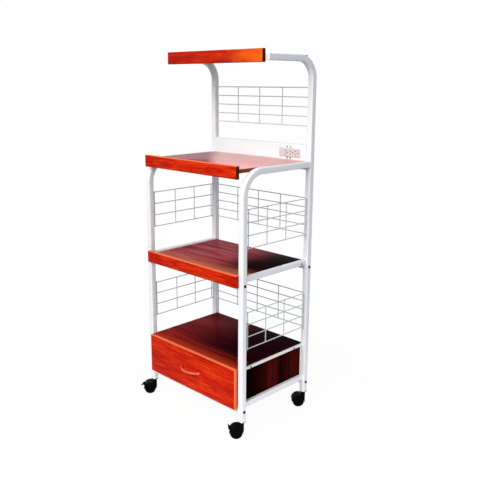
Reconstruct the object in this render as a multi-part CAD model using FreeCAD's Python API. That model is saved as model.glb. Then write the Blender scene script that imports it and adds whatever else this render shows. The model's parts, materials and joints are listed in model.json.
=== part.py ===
import FreeCAD, Part
import math
import os
from FreeCAD import Placement, Rotation, Vector

os.makedirs("parts", exist_ok=True)

# Kitchen cart in millimetres: X to the right, Y from the trims' front faces to the back, Z up from the floor.
# The last step moves the cart so that the origin lies on the floor under the middle of its overall box.
ORIGIN_X = -14.49
ORIGIN_Y = 203.23

# fits and seats
SEAT = 0.3          # gap between a board and the steel beside it
HOLE_PLAY = 0.1     # radial play of a screw in its hole
RUN_PLAY = 0.05     # radial play of a pin that turns
SLIDE_PLAY = 0.5    # play of the drawer on its runners
PAST = 1.0          # how far a cut runs past the face that it opens

# steel tube frame
FRAME_WIDTH = 582.4
TUBE = 25.0
TUBE_ROUND = 4.0
WALL = 1.5
LEG_BEND = 92.5     # centre line radius of the front legs
ARM_BEND = 80.0     # centre line radius of the rear posts
LEG_FRONT = 15.6    # front face of the front legs
POST_BACK = 427.0   # rear face of the rear posts
LEG_FOOT = 68.0
WORKTOP_RAIL_TOP = 1078.0
ARM_RISE = 412.5    # top of the arms above the worktop
ARM_CAP = 2.0
ARM_PLUG = 12.0

ARM_TOP = WORKTOP_RAIL_TOP + ARM_RISE
OUTER = FRAME_WIDTH / 2
LEG_X = FRAME_WIDTH / 2 - TUBE / 2
LEG_INNER = FRAME_WIDTH / 2 - TUBE
LEG_Y = LEG_FRONT + TUBE / 2
LEG_BACK = LEG_FRONT + TUBE
POST_Y = POST_BACK - TUBE / 2
POST_FRONT = POST_BACK - TUBE

# boards and front trims
BOARD = 15.0
BOARD_HALF = LEG_INNER - SEAT
MIDDLE_BOARD_TOP = 661.0
SHELF_BACK_INSET = 15.0
TOP_BOARD_INSET = 31.0
TRIM_LAP = 3.8      # how far a trim laps over each leg
TRIM_HEIGHT = 49.0
TRIM_THICK = 15.0
EDGE_ROUND = 3.0
WORKTOP_LIP = 13.0  # rise of each trim above its board
MIDDLE_LIP = 15.0
TOP_LIP = 17.5
TOP_TRIM_FRONT = 133.0

SHELF_BACK = POST_BACK - SHELF_BACK_INSET
TOP_BOARD_BACK = POST_BACK - TOP_BOARD_INSET
TRIM_HALF = LEG_INNER + TRIM_LAP
WORKTOP_UNDER = WORKTOP_RAIL_TOP - BOARD
TOP_UNDER = ARM_TOP - BOARD
ARM_END = TOP_TRIM_FRONT + TRIM_THICK + ARM_CAP

# side rails and crossbars
RAIL_HEIGHT = 22.0
RAIL_WIDTH = 18.0
RAIL_ROUND = 3.0
MIDDLE_RAIL_RISE = 7.0  # top of the middle rails above their board
BOTTOM_RAIL_TOP = 146.0
STRIP_HEIGHT = 10.0
STRIP_WIDTH = 8.0
CROSSBAR_PLATE = 8.0
PLATE_BITE = 0.2        # depth to which an end plate is welded into its crossbar

MIDDLE_RAIL_TOP = MIDDLE_BOARD_TOP + MIDDLE_RAIL_RISE

# drawer cabinet and drawer
FRONT_HEIGHT = 171.4
FRONT_TOP = 291.4
FRONT_THICK = 15.0
FRONT_SIDE_GAP = 2.2
PANEL = 12.0
CABINET_SETBACK = 2.0
CABINET_DROP = 8.0      # cabinet floor below the top of the bottom rails
BACK_THICK = 6.0
DRAWER_SIDE = 13.0
DRAWER_GAP = 3.0
DRAWER_LIFT = 12.0
DRAWER_HEADROOM = 21.4
DRAWER_REAR_GAP = 20.0
DRAWER_FLOOR = 4.0
DRAWER_FLOOR_RISE = 6.0
FLOOR_GROOVE = 5.0
RUNNER_HEIGHT = 16.0
RUNNER_GROOVE = 7.0
RUNNER_SETBACK = 27.0
RUNNER_END_GAP = 4.0
GROOVE_SETBACK = 17.0

FRONT_HALF = LEG_INNER - FRONT_SIDE_GAP
SHELF_UNDER = FRONT_TOP - BOARD
CABINET_FRONT = LEG_FRONT + CABINET_SETBACK
CABINET_BACK = POST_FRONT
CABINET_BOTTOM_TOP = BOTTOM_RAIL_TOP - CABINET_DROP
DRAWER_LOW = CABINET_BOTTOM_TOP + DRAWER_LIFT
DRAWER_HIGH = SHELF_UNDER - DRAWER_HEADROOM
DRAWER_END = CABINET_BACK - BACK_THICK - DRAWER_REAR_GAP
RUNNER_MID = (DRAWER_LOW + DRAWER_HIGH) / 2

# bow handle
HANDLE_LENGTH = 122.0
HANDLE_PITCH = 104.0
HANDLE_DROP = 84.4      # handle's middle below the top of the drawer front
HANDLE_RISE = 28.0
HANDLE_THICK = 7.0
HANDLE_HEIGHT = 10.0
HANDLE_FOOT = 15.0
HANDLE_SCREW_DEPTH = 6.0

HANDLE_Z = FRONT_TOP - HANDLE_DROP

# wire grids
WIRE = 4.0
WIRE_BITE = 0.6     # depth to which crossing wires are welded together
BACK_WIRES = 5
BACK_WIRE_PITCH = 37.8
BACK_UPRIGHT_PITCH = 127.6
UPPER_GRID_DROP = 123.0     # top wire of each grid below the arm, the worktop or the middle shelf above it
MIDDLE_GRID_DROP = 153.0
LOWER_GRID_DROP = 144.5
SIDE_WIRES = 4
SIDE_WIRE_PITCH = 50.2
SIDE_UPRIGHT_INSET = 13.0
SIDE_UPRIGHTS = 4
SIDE_MIDDLE_DROP = 152.0
SIDE_LOWER_DROP = 141.0

BACK_UPRIGHTS = (-BACK_UPRIGHT_PITCH, 0.0, BACK_UPRIGHT_PITCH)
WIRE_STEP = WIRE - WIRE_BITE

# power panel above the worktop
PANEL_SKIRT = 36.0
PANEL_RISE = 64.0
PANEL_SHEET = 1.5
PANEL_DEPTH = 20.0
OUTLET_INSET = 84.2
OUTLET_RISE = 28.0
OUTLET_LENGTH = 110.0
OUTLET_HEIGHT = 34.0
OUTLET_FACE = 6.0
OUTLET_LIP = 4.0
OUTLET_BODY = 16.0
SOCKET_OFFSET = -20.0   # first outlet from the strip's middle
SOCKET_PITCH = 27.5
SOCKET_COUNT = 3
SLOT_SPACING = 12.7
SLOT_LENGTH = 8.0
SLOT_HEIGHT = 2.4
EARTH_OFFSET = 11.9
EARTH_R = 2.6
SLOT_DEPTH = 14.0
PANEL_SCREW_OFFSETS = (-15.0, 3.0)
PANEL_SCREW_RISE = 22.5

PANEL_Y = POST_FRONT
PANEL_LOW = WORKTOP_RAIL_TOP - PANEL_SKIRT
PANEL_HIGH = WORKTOP_RAIL_TOP + PANEL_RISE
OUTLET_X = LEG_INNER - OUTLET_INSET
OUTLET_Z = WORKTOP_RAIL_TOP + OUTLET_RISE

# fasteners
BOLT_R = 3.0
BOLT_HEAD_R = 6.0
BOLT_HEAD = 4.0
BOLT_LENGTH = 45.0
SCREW_R = 2.0
SCREW_HEAD_R = 3.8
SCREW_HEAD = 2.4
RAIL_SCREW_LENGTH = 33.0
TAB_SCREW_LENGTH = 14.0
MIDDLE_SCREW_INSET = 29.0
STRIP_SCREW_INSETS = (42.4, 53.0)
TAB_LENGTH = 24.0
TAB_REACH = 20.0
TAB_THICK = 3.0
WORKTOP_TABS = (150.0, 330.0)
TOP_TABS = (190.0, 300.0)
PANEL_SCREW_R = 1.5
PANEL_SCREW_HEAD_R = 3.0
PANEL_SCREW_HEAD = 2.0
PANEL_SCREW_LENGTH = 8.0

MIDDLE_SCREW_Y = (POST_FRONT - MIDDLE_SCREW_INSET,)
STRIP_SCREW_Y = (LEG_BACK + STRIP_SCREW_INSETS[0], POST_FRONT - STRIP_SCREW_INSETS[1])
TAB_SCREW_X = LEG_INNER - TAB_REACH / 2

# casters
WHEEL_R = 25.0
WHEEL_WIDTH = 17.0
WHEEL_ROUND = 3.0
DISH_R = 17.0
DISH_DEEP = 2.0
HUB_R = 7.0
WEB = 8.0
WEB_INSET = 0.5
WEB_LOW = -8.0          # lowest point of the web, from the axle
WHEEL_GAP = 0.6
AXLE_R = 4.0
HOOD_R = 28.5
HOOD_INNER_R = 26.5
HOOD_HALF = 22.0
HOOD_LOW = -2.0         # lower edge of the hood, from the axle
HOOD_CLEAR = 40.0       # half size of a block that clears the whole caster
TRAIL = 22.0
BOSS_R = 9.0
BOSS_TOP = 62.0
COLLAR_R = 7.5
STEM_R = 5.5
STEM_TOP = 98.0
SOCKET_FLANGE = 3.0
SOCKET_DEPTH = 33.0
CASTER_TURN = {
    "front_right": 225.0,
    "front_left": 230.0,
    "rear_right": 226.0,
    "rear_left": 250.0,
}
LEVER_TILT = {"front_right": 70.0, "front_left": -25.0}
LEVER_SPOT = 30.0    # angle of the lever's hinge above the axle's level
LEVER_CENTRE = 32.5  # distance of the lever's hinge from the axle
LEVER_BARREL_R = 3.5
LEVER_PIN_R = 1.5
LEVER_HALF = 5.7
LEVER_LENGTH = 14.0
LEVER_THICK = 3.0
LUG_R = 5.0
LUG_THICK = 2.5
LUG_PLAY = 0.4

X_AXIS = Vector(1, 0, 0)
Y_AXIS = Vector(0, 1, 0)
Z_AXIS = Vector(0, 0, 1)


def box(x, y, z):
    """Block between a low and a high value on each axis."""
    return Part.makeBox(x[1] - x[0], y[1] - y[0], z[1] - z[0], Vector(x[0], y[0], z[0]))


def rod(radius, start, axis, length):
    """Round bar from a start point along an axis."""
    return Part.makeCylinder(radius, length, Vector(*start), axis)


def mirrored(shape):
    """The same shape on the cart's other side."""
    return shape.mirror(Vector(0, 0, 0), X_AXIS)


def rounded_section(centre, across, along, width, height, radius):
    """Rounded rectangle face around a centre point, width across and height along."""
    edges = []
    ends = []
    for quarter, (sx, sy) in enumerate(((1, 1), (-1, 1), (-1, -1), (1, -1))):
        middle = centre + across * (sx * (width / 2 - radius)) + along * (sy * (height / 2 - radius))
        points = []
        for step in range(3):
            angle = math.radians(90 * quarter + 45 * step)
            points.append(middle + across * (radius * math.cos(angle)) + along * (radius * math.sin(angle)))
        edges.append(Part.Arc(*points).toShape())
        ends.append((points[0], points[2]))
    for quarter in range(4):
        edges.append(Part.makeLine(ends[quarter][1], ends[(quarter + 1) % 4][0]))
    return Part.Face(Part.Wire(Part.__sortEdges__(edges)))


def bent_bar(x, y, low, top, reach, side, bend, radius):
    """Upright that bends towards the back (1) or the front (-1) and runs level up to reach."""
    corner = top - TUBE / 2 - bend
    turn_y = y + side * bend
    width = TUBE - 2 * (TUBE_ROUND - radius)
    upright = rounded_section(Vector(x, y, low), X_AXIS, Y_AXIS, width, width, radius)
    upright = upright.extrude(Vector(0, 0, corner - low))
    elbow = rounded_section(Vector(x, y, corner), X_AXIS, Y_AXIS, width, width, radius)
    elbow = elbow.revolve(Vector(x, turn_y, corner), X_AXIS, -90 * side)
    level = rounded_section(Vector(x, turn_y, corner + bend), X_AXIS, Z_AXIS, width, width, radius)
    level = level.extrude(Vector(0, reach - turn_y, 0))
    return upright.fuse([elbow, level]).removeSplitter()


def bent_tube(x, y, low, top, reach, side, bend):
    """Hollow bent tube, open at both ends."""
    outer = bent_bar(x, y, low, top, reach, side, bend, TUBE_ROUND)
    inner = bent_bar(x, y, low - PAST, top, reach + side * PAST, side, bend, TUBE_ROUND - WALL)
    return outer.cut(inner)


def level_tube(x, y, z, axis):
    """Hollow rounded tube between low and high values; axis 0 runs along X and 1 along Y."""
    spans = (x, y, z)
    start = Vector(*[(s[0] + s[1]) / 2 for s in spans])
    run = spans[axis][1] - spans[axis][0]
    direction = (X_AXIS, Y_AXIS)[axis]
    across = (Y_AXIS, X_AXIS)[axis]
    width = spans[1 - axis][1] - spans[1 - axis][0]
    height = z[1] - z[0]
    outer = rounded_section(start - direction * (run / 2), across, Z_AXIS, width, height, RAIL_ROUND)
    inner = rounded_section(start - direction * (run / 2 + PAST), across, Z_AXIS,
                            width - 2 * WALL, height - 2 * WALL, RAIL_ROUND - WALL)
    return outer.extrude(direction * run).cut(inner.extrude(direction * (run + 2 * PAST)))


def headed(radius, length, head_radius, head, seat, axis):
    """Fastener whose head sits on a seat point and whose shank runs along an axis."""
    shank = rod(radius, seat, axis, length)
    cap = rod(head_radius, seat - axis * head, axis, head)
    rim = [edge for edge in cap.Edges if edge.Length > 2 * math.pi * radius
           and abs((edge.CenterOfMass - seat).dot(axis) + head) < 0.01]
    return cap.makeFillet(head / 2, rim).fuse(shank).removeSplitter()


def front_rounded(shape, front):
    """Round the edges that bound a front face."""
    edges = [edge for edge in shape.Edges if abs(edge.BoundBox.YMin - front) < 0.01
             and abs(edge.BoundBox.YMax - front) < 0.01]
    return shape.makeFillet(EDGE_ROUND, edges)


NODES = {}

# bolts through the legs into the crossbars, right side; the left side mirrors them
MIDDLE_BAR_TOP = MIDDLE_BOARD_TOP - BOARD
BOTTOM_BAR_TOP = CABINET_BOTTOM_TOP - BOARD
BAR_TOPS = {"middle": MIDDLE_BAR_TOP, "bottom": BOTTOM_BAR_TOP}
BAR_YS = {"front": LEG_Y, "rear": POST_Y}


def bolt_hole(y, z):
    """Hole for a frame bolt through a leg."""
    return rod(BOLT_R + HOLE_PLAY, (LEG_INNER - PAST, y, z), X_AXIS, TUBE + 2 * PAST)


bolts = []
for top in BAR_TOPS.values():
    for y in BAR_YS.values():
        seat = Vector(OUTER, y, top - RAIL_HEIGHT / 2)
        bolts.append(headed(BOLT_R, BOLT_LENGTH, BOLT_HEAD_R, BOLT_HEAD, seat, -X_AXIS))


def tab(y, top):
    """Steel tab welded to a tube's inner face, with its screw hole, under a board."""
    plate = box((LEG_INNER - TAB_REACH, LEG_INNER + WALL / 2), (y - TAB_LENGTH / 2, y + TAB_LENGTH / 2),
                (top - TAB_THICK, top))
    hole = rod(SCREW_R + HOLE_PLAY, (TAB_SCREW_X, y, top - TAB_THICK - PAST), Z_AXIS, TAB_THICK + 2 * PAST)
    return plate.cut(hole)


# front legs and rear posts
front_leg = bent_tube(LEG_X, LEG_Y, LEG_FOOT, WORKTOP_RAIL_TOP, POST_FRONT, 1, LEG_BEND)
rear_post = bent_tube(LEG_X, POST_Y, LEG_FOOT, ARM_TOP, ARM_END, -1, ARM_BEND)
for top in BAR_TOPS.values():
    front_leg = front_leg.cut(bolt_hole(LEG_Y, top - RAIL_HEIGHT / 2))
    rear_post = rear_post.cut(bolt_hole(POST_Y, top - RAIL_HEIGHT / 2))
front_leg = front_leg.fuse([tab(y, WORKTOP_UNDER) for y in WORKTOP_TABS]).removeSplitter()
rear_post = rear_post.fuse([tab(y, TOP_UNDER) for y in TOP_TABS]).removeSplitter()
NODES["right_front_leg"] = front_leg
NODES["left_front_leg"] = mirrored(front_leg)
NODES["right_rear_post"] = rear_post
NODES["left_rear_post"] = mirrored(rear_post)

# plastic caps in the open front ends of the top arms
cap = rounded_section(Vector(LEG_X, ARM_END, ARM_TOP - TUBE / 2), X_AXIS, Z_AXIS, TUBE, TUBE, TUBE_ROUND)
cap = cap.extrude(Vector(0, -ARM_CAP, 0))
plug_side = TUBE - 2 * WALL - 2 * HOLE_PLAY
plug = rounded_section(Vector(LEG_X, ARM_END, ARM_TOP - TUBE / 2), X_AXIS, Z_AXIS,
                       plug_side, plug_side, TUBE_ROUND - WALL)
cap = cap.fuse(plug.extrude(Vector(0, ARM_PLUG, 0))).removeSplitter()
NODES["arm_end_caps"] = Part.makeCompound([cap, mirrored(cap)])

# side rails between the legs and the posts
RAIL_SPAN = (LEG_BACK, POST_FRONT)
RAIL_X = (LEG_INNER, LEG_INNER + RAIL_WIDTH)
STRIP_X = (LEG_INNER, LEG_INNER + STRIP_WIDTH)
STRIP_MID = FRONT_TOP - BOARD / 2
MIDDLE_SCREW_Z = MIDDLE_BOARD_TOP - BOARD / 2


def side_screw_hole(y, z, start, length):
    """Hole along X for a rail screw."""
    return rod(SCREW_R + HOLE_PLAY, (start, y, z), X_AXIS, length)


middle_rail = level_tube(RAIL_X, RAIL_SPAN, (MIDDLE_RAIL_TOP - RAIL_HEIGHT, MIDDLE_RAIL_TOP), 1)
for y in MIDDLE_SCREW_Y:
    middle_rail = middle_rail.cut(side_screw_hole(y, MIDDLE_SCREW_Z, LEG_INNER - PAST, RAIL_WIDTH + 2 * PAST))
strip = box(STRIP_X, RAIL_SPAN, (STRIP_MID - STRIP_HEIGHT / 2, STRIP_MID + STRIP_HEIGHT / 2))
for y in STRIP_SCREW_Y:
    strip = strip.cut(side_screw_hole(y, STRIP_MID, LEG_INNER - PAST, STRIP_WIDTH + 2 * PAST))
bottom_rail = level_tube(RAIL_X, RAIL_SPAN, (BOTTOM_RAIL_TOP - RAIL_HEIGHT, BOTTOM_RAIL_TOP), 1)
for name, shape in (("middle_rail", middle_rail), ("cabinet_strip", strip), ("bottom_rail", bottom_rail)):
    NODES["right_" + name] = shape
    NODES["left_" + name] = mirrored(shape)

# crossbars under the middle shelf and the cabinet floor
for level, top in BAR_TOPS.items():
    for place, y in BAR_YS.items():
        span = (y - RAIL_WIDTH / 2, y + RAIL_WIDTH / 2)
        height = (top - RAIL_HEIGHT, top)
        bar = level_tube((-LEG_INNER, LEG_INNER), span, height, 0)
        inset = WALL - PLATE_BITE
        for side in (1, -1):
            inner_end = side * (LEG_INNER - CROSSBAR_PLATE)
            plate = box(sorted((inner_end, side * LEG_INNER)), (span[0] + inset, span[1] - inset),
                        (height[0] + inset, height[1] - inset))
            bar = bar.fuse(plate)
        start = (-LEG_INNER - PAST, y, top - RAIL_HEIGHT / 2)
        hole = rod(BOLT_R + HOLE_PLAY, start, X_AXIS, 2 * (LEG_INNER + PAST))
        NODES[level + "_" + place + "_crossbar"] = bar.removeSplitter().cut(hole)

# boards
BOARD_X = (-BOARD_HALF, BOARD_HALF)
NODES["worktop_board"] = box(BOARD_X, (TRIM_THICK, POST_FRONT), (WORKTOP_UNDER, WORKTOP_RAIL_TOP))
NODES["middle_shelf_board"] = box(BOARD_X, (TRIM_THICK, SHELF_BACK), (MIDDLE_BAR_TOP, MIDDLE_BOARD_TOP))
NODES["lower_shelf_board"] = box(BOARD_X, (LEG_FRONT, SHELF_BACK), (SHELF_UNDER, FRONT_TOP))
NODES["cabinet_floor"] = box(BOARD_X, (CABINET_FRONT, SHELF_BACK), (BOTTOM_BAR_TOP, CABINET_BOTTOM_TOP))
NODES["top_shelf_board"] = box(BOARD_X, (TOP_TRIM_FRONT + TRIM_THICK, TOP_BOARD_BACK), (TOP_UNDER, ARM_TOP))
screws = []
for node, ys, z, head_x in (("middle_shelf_board", MIDDLE_SCREW_Y, MIDDLE_SCREW_Z, RAIL_X[1]),
                            ("lower_shelf_board", STRIP_SCREW_Y, STRIP_MID, STRIP_X[1])):
    for y in ys:
        depth = head_x - RAIL_SCREW_LENGTH - PAST
        hole = side_screw_hole(y, z, depth, BOARD_HALF - depth + PAST)
        NODES[node] = NODES[node].cut([hole, mirrored(hole)])
        seat = Vector(head_x, y, z)
        screws.append(headed(SCREW_R, RAIL_SCREW_LENGTH, SCREW_HEAD_R, SCREW_HEAD, seat, -X_AXIS))
tab_screws = []
for node, ys, under in (("worktop_board", WORKTOP_TABS, WORKTOP_UNDER),
                        ("top_shelf_board", TOP_TABS, TOP_UNDER)):
    for y in ys:
        hole = rod(SCREW_R + HOLE_PLAY, (TAB_SCREW_X, y, under - PAST), Z_AXIS, TAB_SCREW_LENGTH)
        NODES[node] = NODES[node].cut([hole, mirrored(hole)])
        seat = Vector(TAB_SCREW_X, y, under - TAB_THICK)
        tab_screws.append(headed(SCREW_R, TAB_SCREW_LENGTH, SCREW_HEAD_R, SCREW_HEAD, seat, Z_AXIS))
NODES["frame_bolts"] = Part.makeCompound(bolts + [mirrored(bolt) for bolt in bolts])
NODES["rail_screws"] = Part.makeCompound(screws + [mirrored(screw) for screw in screws])
NODES["tab_screws"] = Part.makeCompound(tab_screws + [mirrored(screw) for screw in tab_screws])

# front trims
for name, front, top in (("worktop_trim", 0.0, WORKTOP_RAIL_TOP + WORKTOP_LIP),
                         ("middle_shelf_trim", 0.0, MIDDLE_BOARD_TOP + MIDDLE_LIP),
                         ("top_shelf_trim", TOP_TRIM_FRONT, ARM_TOP + TOP_LIP)):
    trim = box((-TRIM_HALF, TRIM_HALF), (front, front + TRIM_THICK), (top - TRIM_HEIGHT, top))
    NODES[name] = front_rounded(trim, front)

# drawer cabinet
SIDE_X = (BOARD_HALF - PANEL, BOARD_HALF)
side_panel = box(SIDE_X, (CABINET_FRONT, CABINET_BACK), (CABINET_BOTTOM_TOP, SHELF_UNDER))
NODES["cabinet_right_side"] = side_panel
NODES["cabinet_left_side"] = mirrored(side_panel)
NODES["cabinet_back"] = box((-SIDE_X[0], SIDE_X[0]), (CABINET_BACK - BACK_THICK, CABINET_BACK),
                            (CABINET_BOTTOM_TOP, SHELF_UNDER))
runner_inner = SIDE_X[0] - DRAWER_GAP - RUNNER_GROOVE + SLIDE_PLAY
runner_y = (FRONT_THICK + RUNNER_SETBACK, CABINET_BACK - BACK_THICK - RUNNER_END_GAP)
runner_z = (RUNNER_MID - RUNNER_HEIGHT / 2, RUNNER_MID + RUNNER_HEIGHT / 2)
runner = box((runner_inner, SIDE_X[0]), runner_y, runner_z)
NODES["right_runner"] = runner
NODES["left_runner"] = mirrored(runner)

# drawer
DRAWER_OUTER = SIDE_X[0] - DRAWER_GAP
DRAWER_INNER = DRAWER_OUTER - DRAWER_SIDE
FLOOR_Z = (DRAWER_LOW + DRAWER_FLOOR_RISE, DRAWER_LOW + DRAWER_FLOOR_RISE + DRAWER_FLOOR)
drawer_side = box((DRAWER_INNER, DRAWER_OUTER), (FRONT_THICK, DRAWER_END), (DRAWER_LOW, DRAWER_HIGH))
groove_half = RUNNER_HEIGHT / 2 + SLIDE_PLAY
drawer_side = drawer_side.cut(box((DRAWER_OUTER - RUNNER_GROOVE, DRAWER_OUTER + PAST),
                                  (FRONT_THICK + GROOVE_SETBACK, DRAWER_END + PAST),
                                  (RUNNER_MID - groove_half, RUNNER_MID + groove_half)))
floor_groove_x = (-DRAWER_INNER - FLOOR_GROOVE, DRAWER_INNER + FLOOR_GROOVE)
floor_groove_y = (FRONT_THICK - FLOOR_GROOVE, DRAWER_END + PAST)
floor_cut = box(floor_groove_x, floor_groove_y, FLOOR_Z)
drawer_side = drawer_side.cut(floor_cut)
NODES["drawer_right_side"] = drawer_side
NODES["drawer_left_side"] = mirrored(drawer_side)
NODES["drawer_back"] = box((-DRAWER_INNER, DRAWER_INNER), (DRAWER_END - PANEL, DRAWER_END),
                           (FLOOR_Z[1], DRAWER_HIGH))
NODES["drawer_floor"] = box((floor_groove_x[0] + HOLE_PLAY, floor_groove_x[1] - HOLE_PLAY),
                            (floor_groove_y[0] + HOLE_PLAY, DRAWER_END), FLOOR_Z)
drawer_front = box((-FRONT_HALF, FRONT_HALF), (0, FRONT_THICK), (FRONT_TOP - FRONT_HEIGHT, FRONT_TOP))
drawer_front = front_rounded(drawer_front, 0.0).cut(floor_cut)

# bow handle and its screws
reach = HANDLE_LENGTH / 2
inner_reach = reach - HANDLE_FOOT
low_z = HANDLE_Z - HANDLE_HEIGHT / 2
outer_arc = Part.Arc(Vector(-reach, 0, low_z), Vector(0, -HANDLE_RISE, low_z),
                     Vector(reach, 0, low_z)).toShape()
inner_arc = Part.Arc(Vector(inner_reach, 0, low_z), Vector(0, HANDLE_THICK - HANDLE_RISE, low_z),
                     Vector(-inner_reach, 0, low_z)).toShape()
feet = [Part.makeLine(Vector(reach, 0, low_z), Vector(inner_reach, 0, low_z)),
        Part.makeLine(Vector(-inner_reach, 0, low_z), Vector(-reach, 0, low_z))]
bow = Part.Face(Part.Wire(Part.__sortEdges__([outer_arc, feet[0], inner_arc, feet[1]])))
handle = bow.extrude(Vector(0, 0, HANDLE_HEIGHT))
handle = handle.makeFillet(EDGE_ROUND, [edge for edge in handle.Edges if edge.Length > HANDLE_PITCH / 2])
handle_screws = []
for side in (1, -1):
    x = side * HANDLE_PITCH / 2
    length = FRONT_THICK + HANDLE_SCREW_DEPTH
    hole = rod(SCREW_R + HOLE_PLAY, (x, -HANDLE_SCREW_DEPTH - HOLE_PLAY, HANDLE_Z), Y_AXIS, length + PAST)
    handle = handle.cut(hole)
    drawer_front = drawer_front.cut(hole)
    handle_screws.append(headed(SCREW_R, length, SCREW_HEAD_R, SCREW_HEAD,
                                Vector(x, FRONT_THICK, HANDLE_Z), -Y_AXIS))
NODES["drawer_front"] = drawer_front
NODES["drawer_handle"] = handle
NODES["handle_screws"] = Part.makeCompound(handle_screws)

# wire grids: the back grids end on the posts' inner faces, the side grids on the legs and the posts
def back_grid(top):
    """Five level wires between the posts, with three uprights welded on in front."""
    wires = []
    for row in range(BACK_WIRES):
        wires.append(rod(WIRE / 2, (-LEG_INNER, POST_Y, top - row * BACK_WIRE_PITCH), X_AXIS, 2 * LEG_INNER))
    height = (BACK_WIRES - 1) * BACK_WIRE_PITCH + WIRE
    for x in BACK_UPRIGHTS:
        wires.append(rod(WIRE / 2, (x, POST_Y - WIRE_STEP, top + WIRE / 2 - height), Z_AXIS, height))
    return wires[0].fuse(wires[1:])


def side_grid(top):
    """Four level wires, two of them from leg to post, with end uprights outside and the others inside."""
    wires = []
    first = LEG_BACK + SIDE_UPRIGHT_INSET
    last = POST_FRONT - SIDE_UPRIGHT_INSET
    for row in range(SIDE_WIRES):
        start = LEG_BACK if row in (0, SIDE_WIRES - 1) else first - WIRE / 2
        end = POST_FRONT if row in (0, SIDE_WIRES - 1) else last + WIRE / 2
        wires.append(rod(WIRE / 2, (LEG_X, start, top - row * SIDE_WIRE_PITCH), Y_AXIS, end - start))
    height = (SIDE_WIRES - 1) * SIDE_WIRE_PITCH + WIRE
    for column in range(SIDE_UPRIGHTS):
        y = first + column * (last - first) / (SIDE_UPRIGHTS - 1)
        x = LEG_X + WIRE_STEP if column in (0, SIDE_UPRIGHTS - 1) else LEG_X - WIRE_STEP
        wires.append(rod(WIRE / 2, (x, y, top + WIRE / 2 - height), Z_AXIS, height))
    return wires[0].fuse(wires[1:])


NODES["upper_back_grid"] = back_grid(ARM_TOP - UPPER_GRID_DROP)
NODES["middle_back_grid"] = back_grid(WORKTOP_RAIL_TOP - MIDDLE_GRID_DROP)
NODES["lower_back_grid"] = back_grid(MIDDLE_BOARD_TOP - LOWER_GRID_DROP)
for name, top in (("middle_side_grid", WORKTOP_RAIL_TOP - SIDE_MIDDLE_DROP),
                  ("lower_side_grid", MIDDLE_BOARD_TOP - SIDE_LOWER_DROP)):
    grid = side_grid(top)
    NODES["right_" + name] = grid
    NODES["left_" + name] = mirrored(grid)

# power panel: a folded steel tray, open at the back, with the outlet strip through it
tray = box(BOARD_X, (PANEL_Y, PANEL_Y + PANEL_DEPTH), (PANEL_LOW, PANEL_HIGH))
tray = tray.cut(box((BOARD_X[0] + PANEL_SHEET, BOARD_X[1] - PANEL_SHEET),
                    (PANEL_Y + PANEL_SHEET, PANEL_Y + PANEL_DEPTH + PAST),
                    (PANEL_LOW + PANEL_SHEET, PANEL_HIGH - PANEL_SHEET)))
body_x = (OUTLET_X - OUTLET_LENGTH / 2 + OUTLET_LIP, OUTLET_X + OUTLET_LENGTH / 2 - OUTLET_LIP)
body_z = (OUTLET_Z - OUTLET_HEIGHT / 2 + OUTLET_LIP, OUTLET_Z + OUTLET_HEIGHT / 2 - OUTLET_LIP)
tray = tray.cut(box((body_x[0] - SEAT, body_x[1] + SEAT), (PANEL_Y - PAST, PANEL_Y + PANEL_SHEET + PAST),
                    (body_z[0] - SEAT, body_z[1] + SEAT)))
panel_screws = []
for x in [OUTLET_X + offset for offset in PANEL_SCREW_OFFSETS]:
    for z in (OUTLET_Z - PANEL_SCREW_RISE, OUTLET_Z + PANEL_SCREW_RISE):
        hole = rod(PANEL_SCREW_R + HOLE_PLAY, (x, PANEL_Y - PAST, z), Y_AXIS, PANEL_SHEET + 2 * PAST)
        tray = tray.cut(hole)
        panel_screws.append(headed(PANEL_SCREW_R, PANEL_SCREW_LENGTH, PANEL_SCREW_HEAD_R, PANEL_SCREW_HEAD,
                                   Vector(x, PANEL_Y, z), Y_AXIS))
NODES["power_panel"] = tray
NODES["outlet_screws"] = Part.makeCompound(panel_screws)
outlet_front = PANEL_Y - OUTLET_FACE
outlet = box((OUTLET_X - OUTLET_LENGTH / 2, OUTLET_X + OUTLET_LENGTH / 2), (outlet_front, PANEL_Y),
             (OUTLET_Z - OUTLET_HEIGHT / 2, OUTLET_Z + OUTLET_HEIGHT / 2))
outlet = front_rounded(outlet, outlet_front)
outlet = outlet.fuse(box(body_x, (PANEL_Y, PANEL_Y + OUTLET_BODY), body_z)).removeSplitter()
for number in range(SOCKET_COUNT):
    x = OUTLET_X + SOCKET_OFFSET + number * SOCKET_PITCH
    for side in (1, -1):
        z = OUTLET_Z + side * SLOT_SPACING / 2
        outlet = outlet.cut(box((x - SLOT_LENGTH / 2, x + SLOT_LENGTH / 2),
                                (outlet_front - PAST, outlet_front + SLOT_DEPTH),
                                (z - SLOT_HEIGHT / 2, z + SLOT_HEIGHT / 2)))
    earth = (x + EARTH_OFFSET, outlet_front - PAST, OUTLET_Z)
    outlet = outlet.cut(rod(EARTH_R, earth, Y_AXIS, SLOT_DEPTH + PAST))
NODES["outlet_strip"] = outlet

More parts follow.
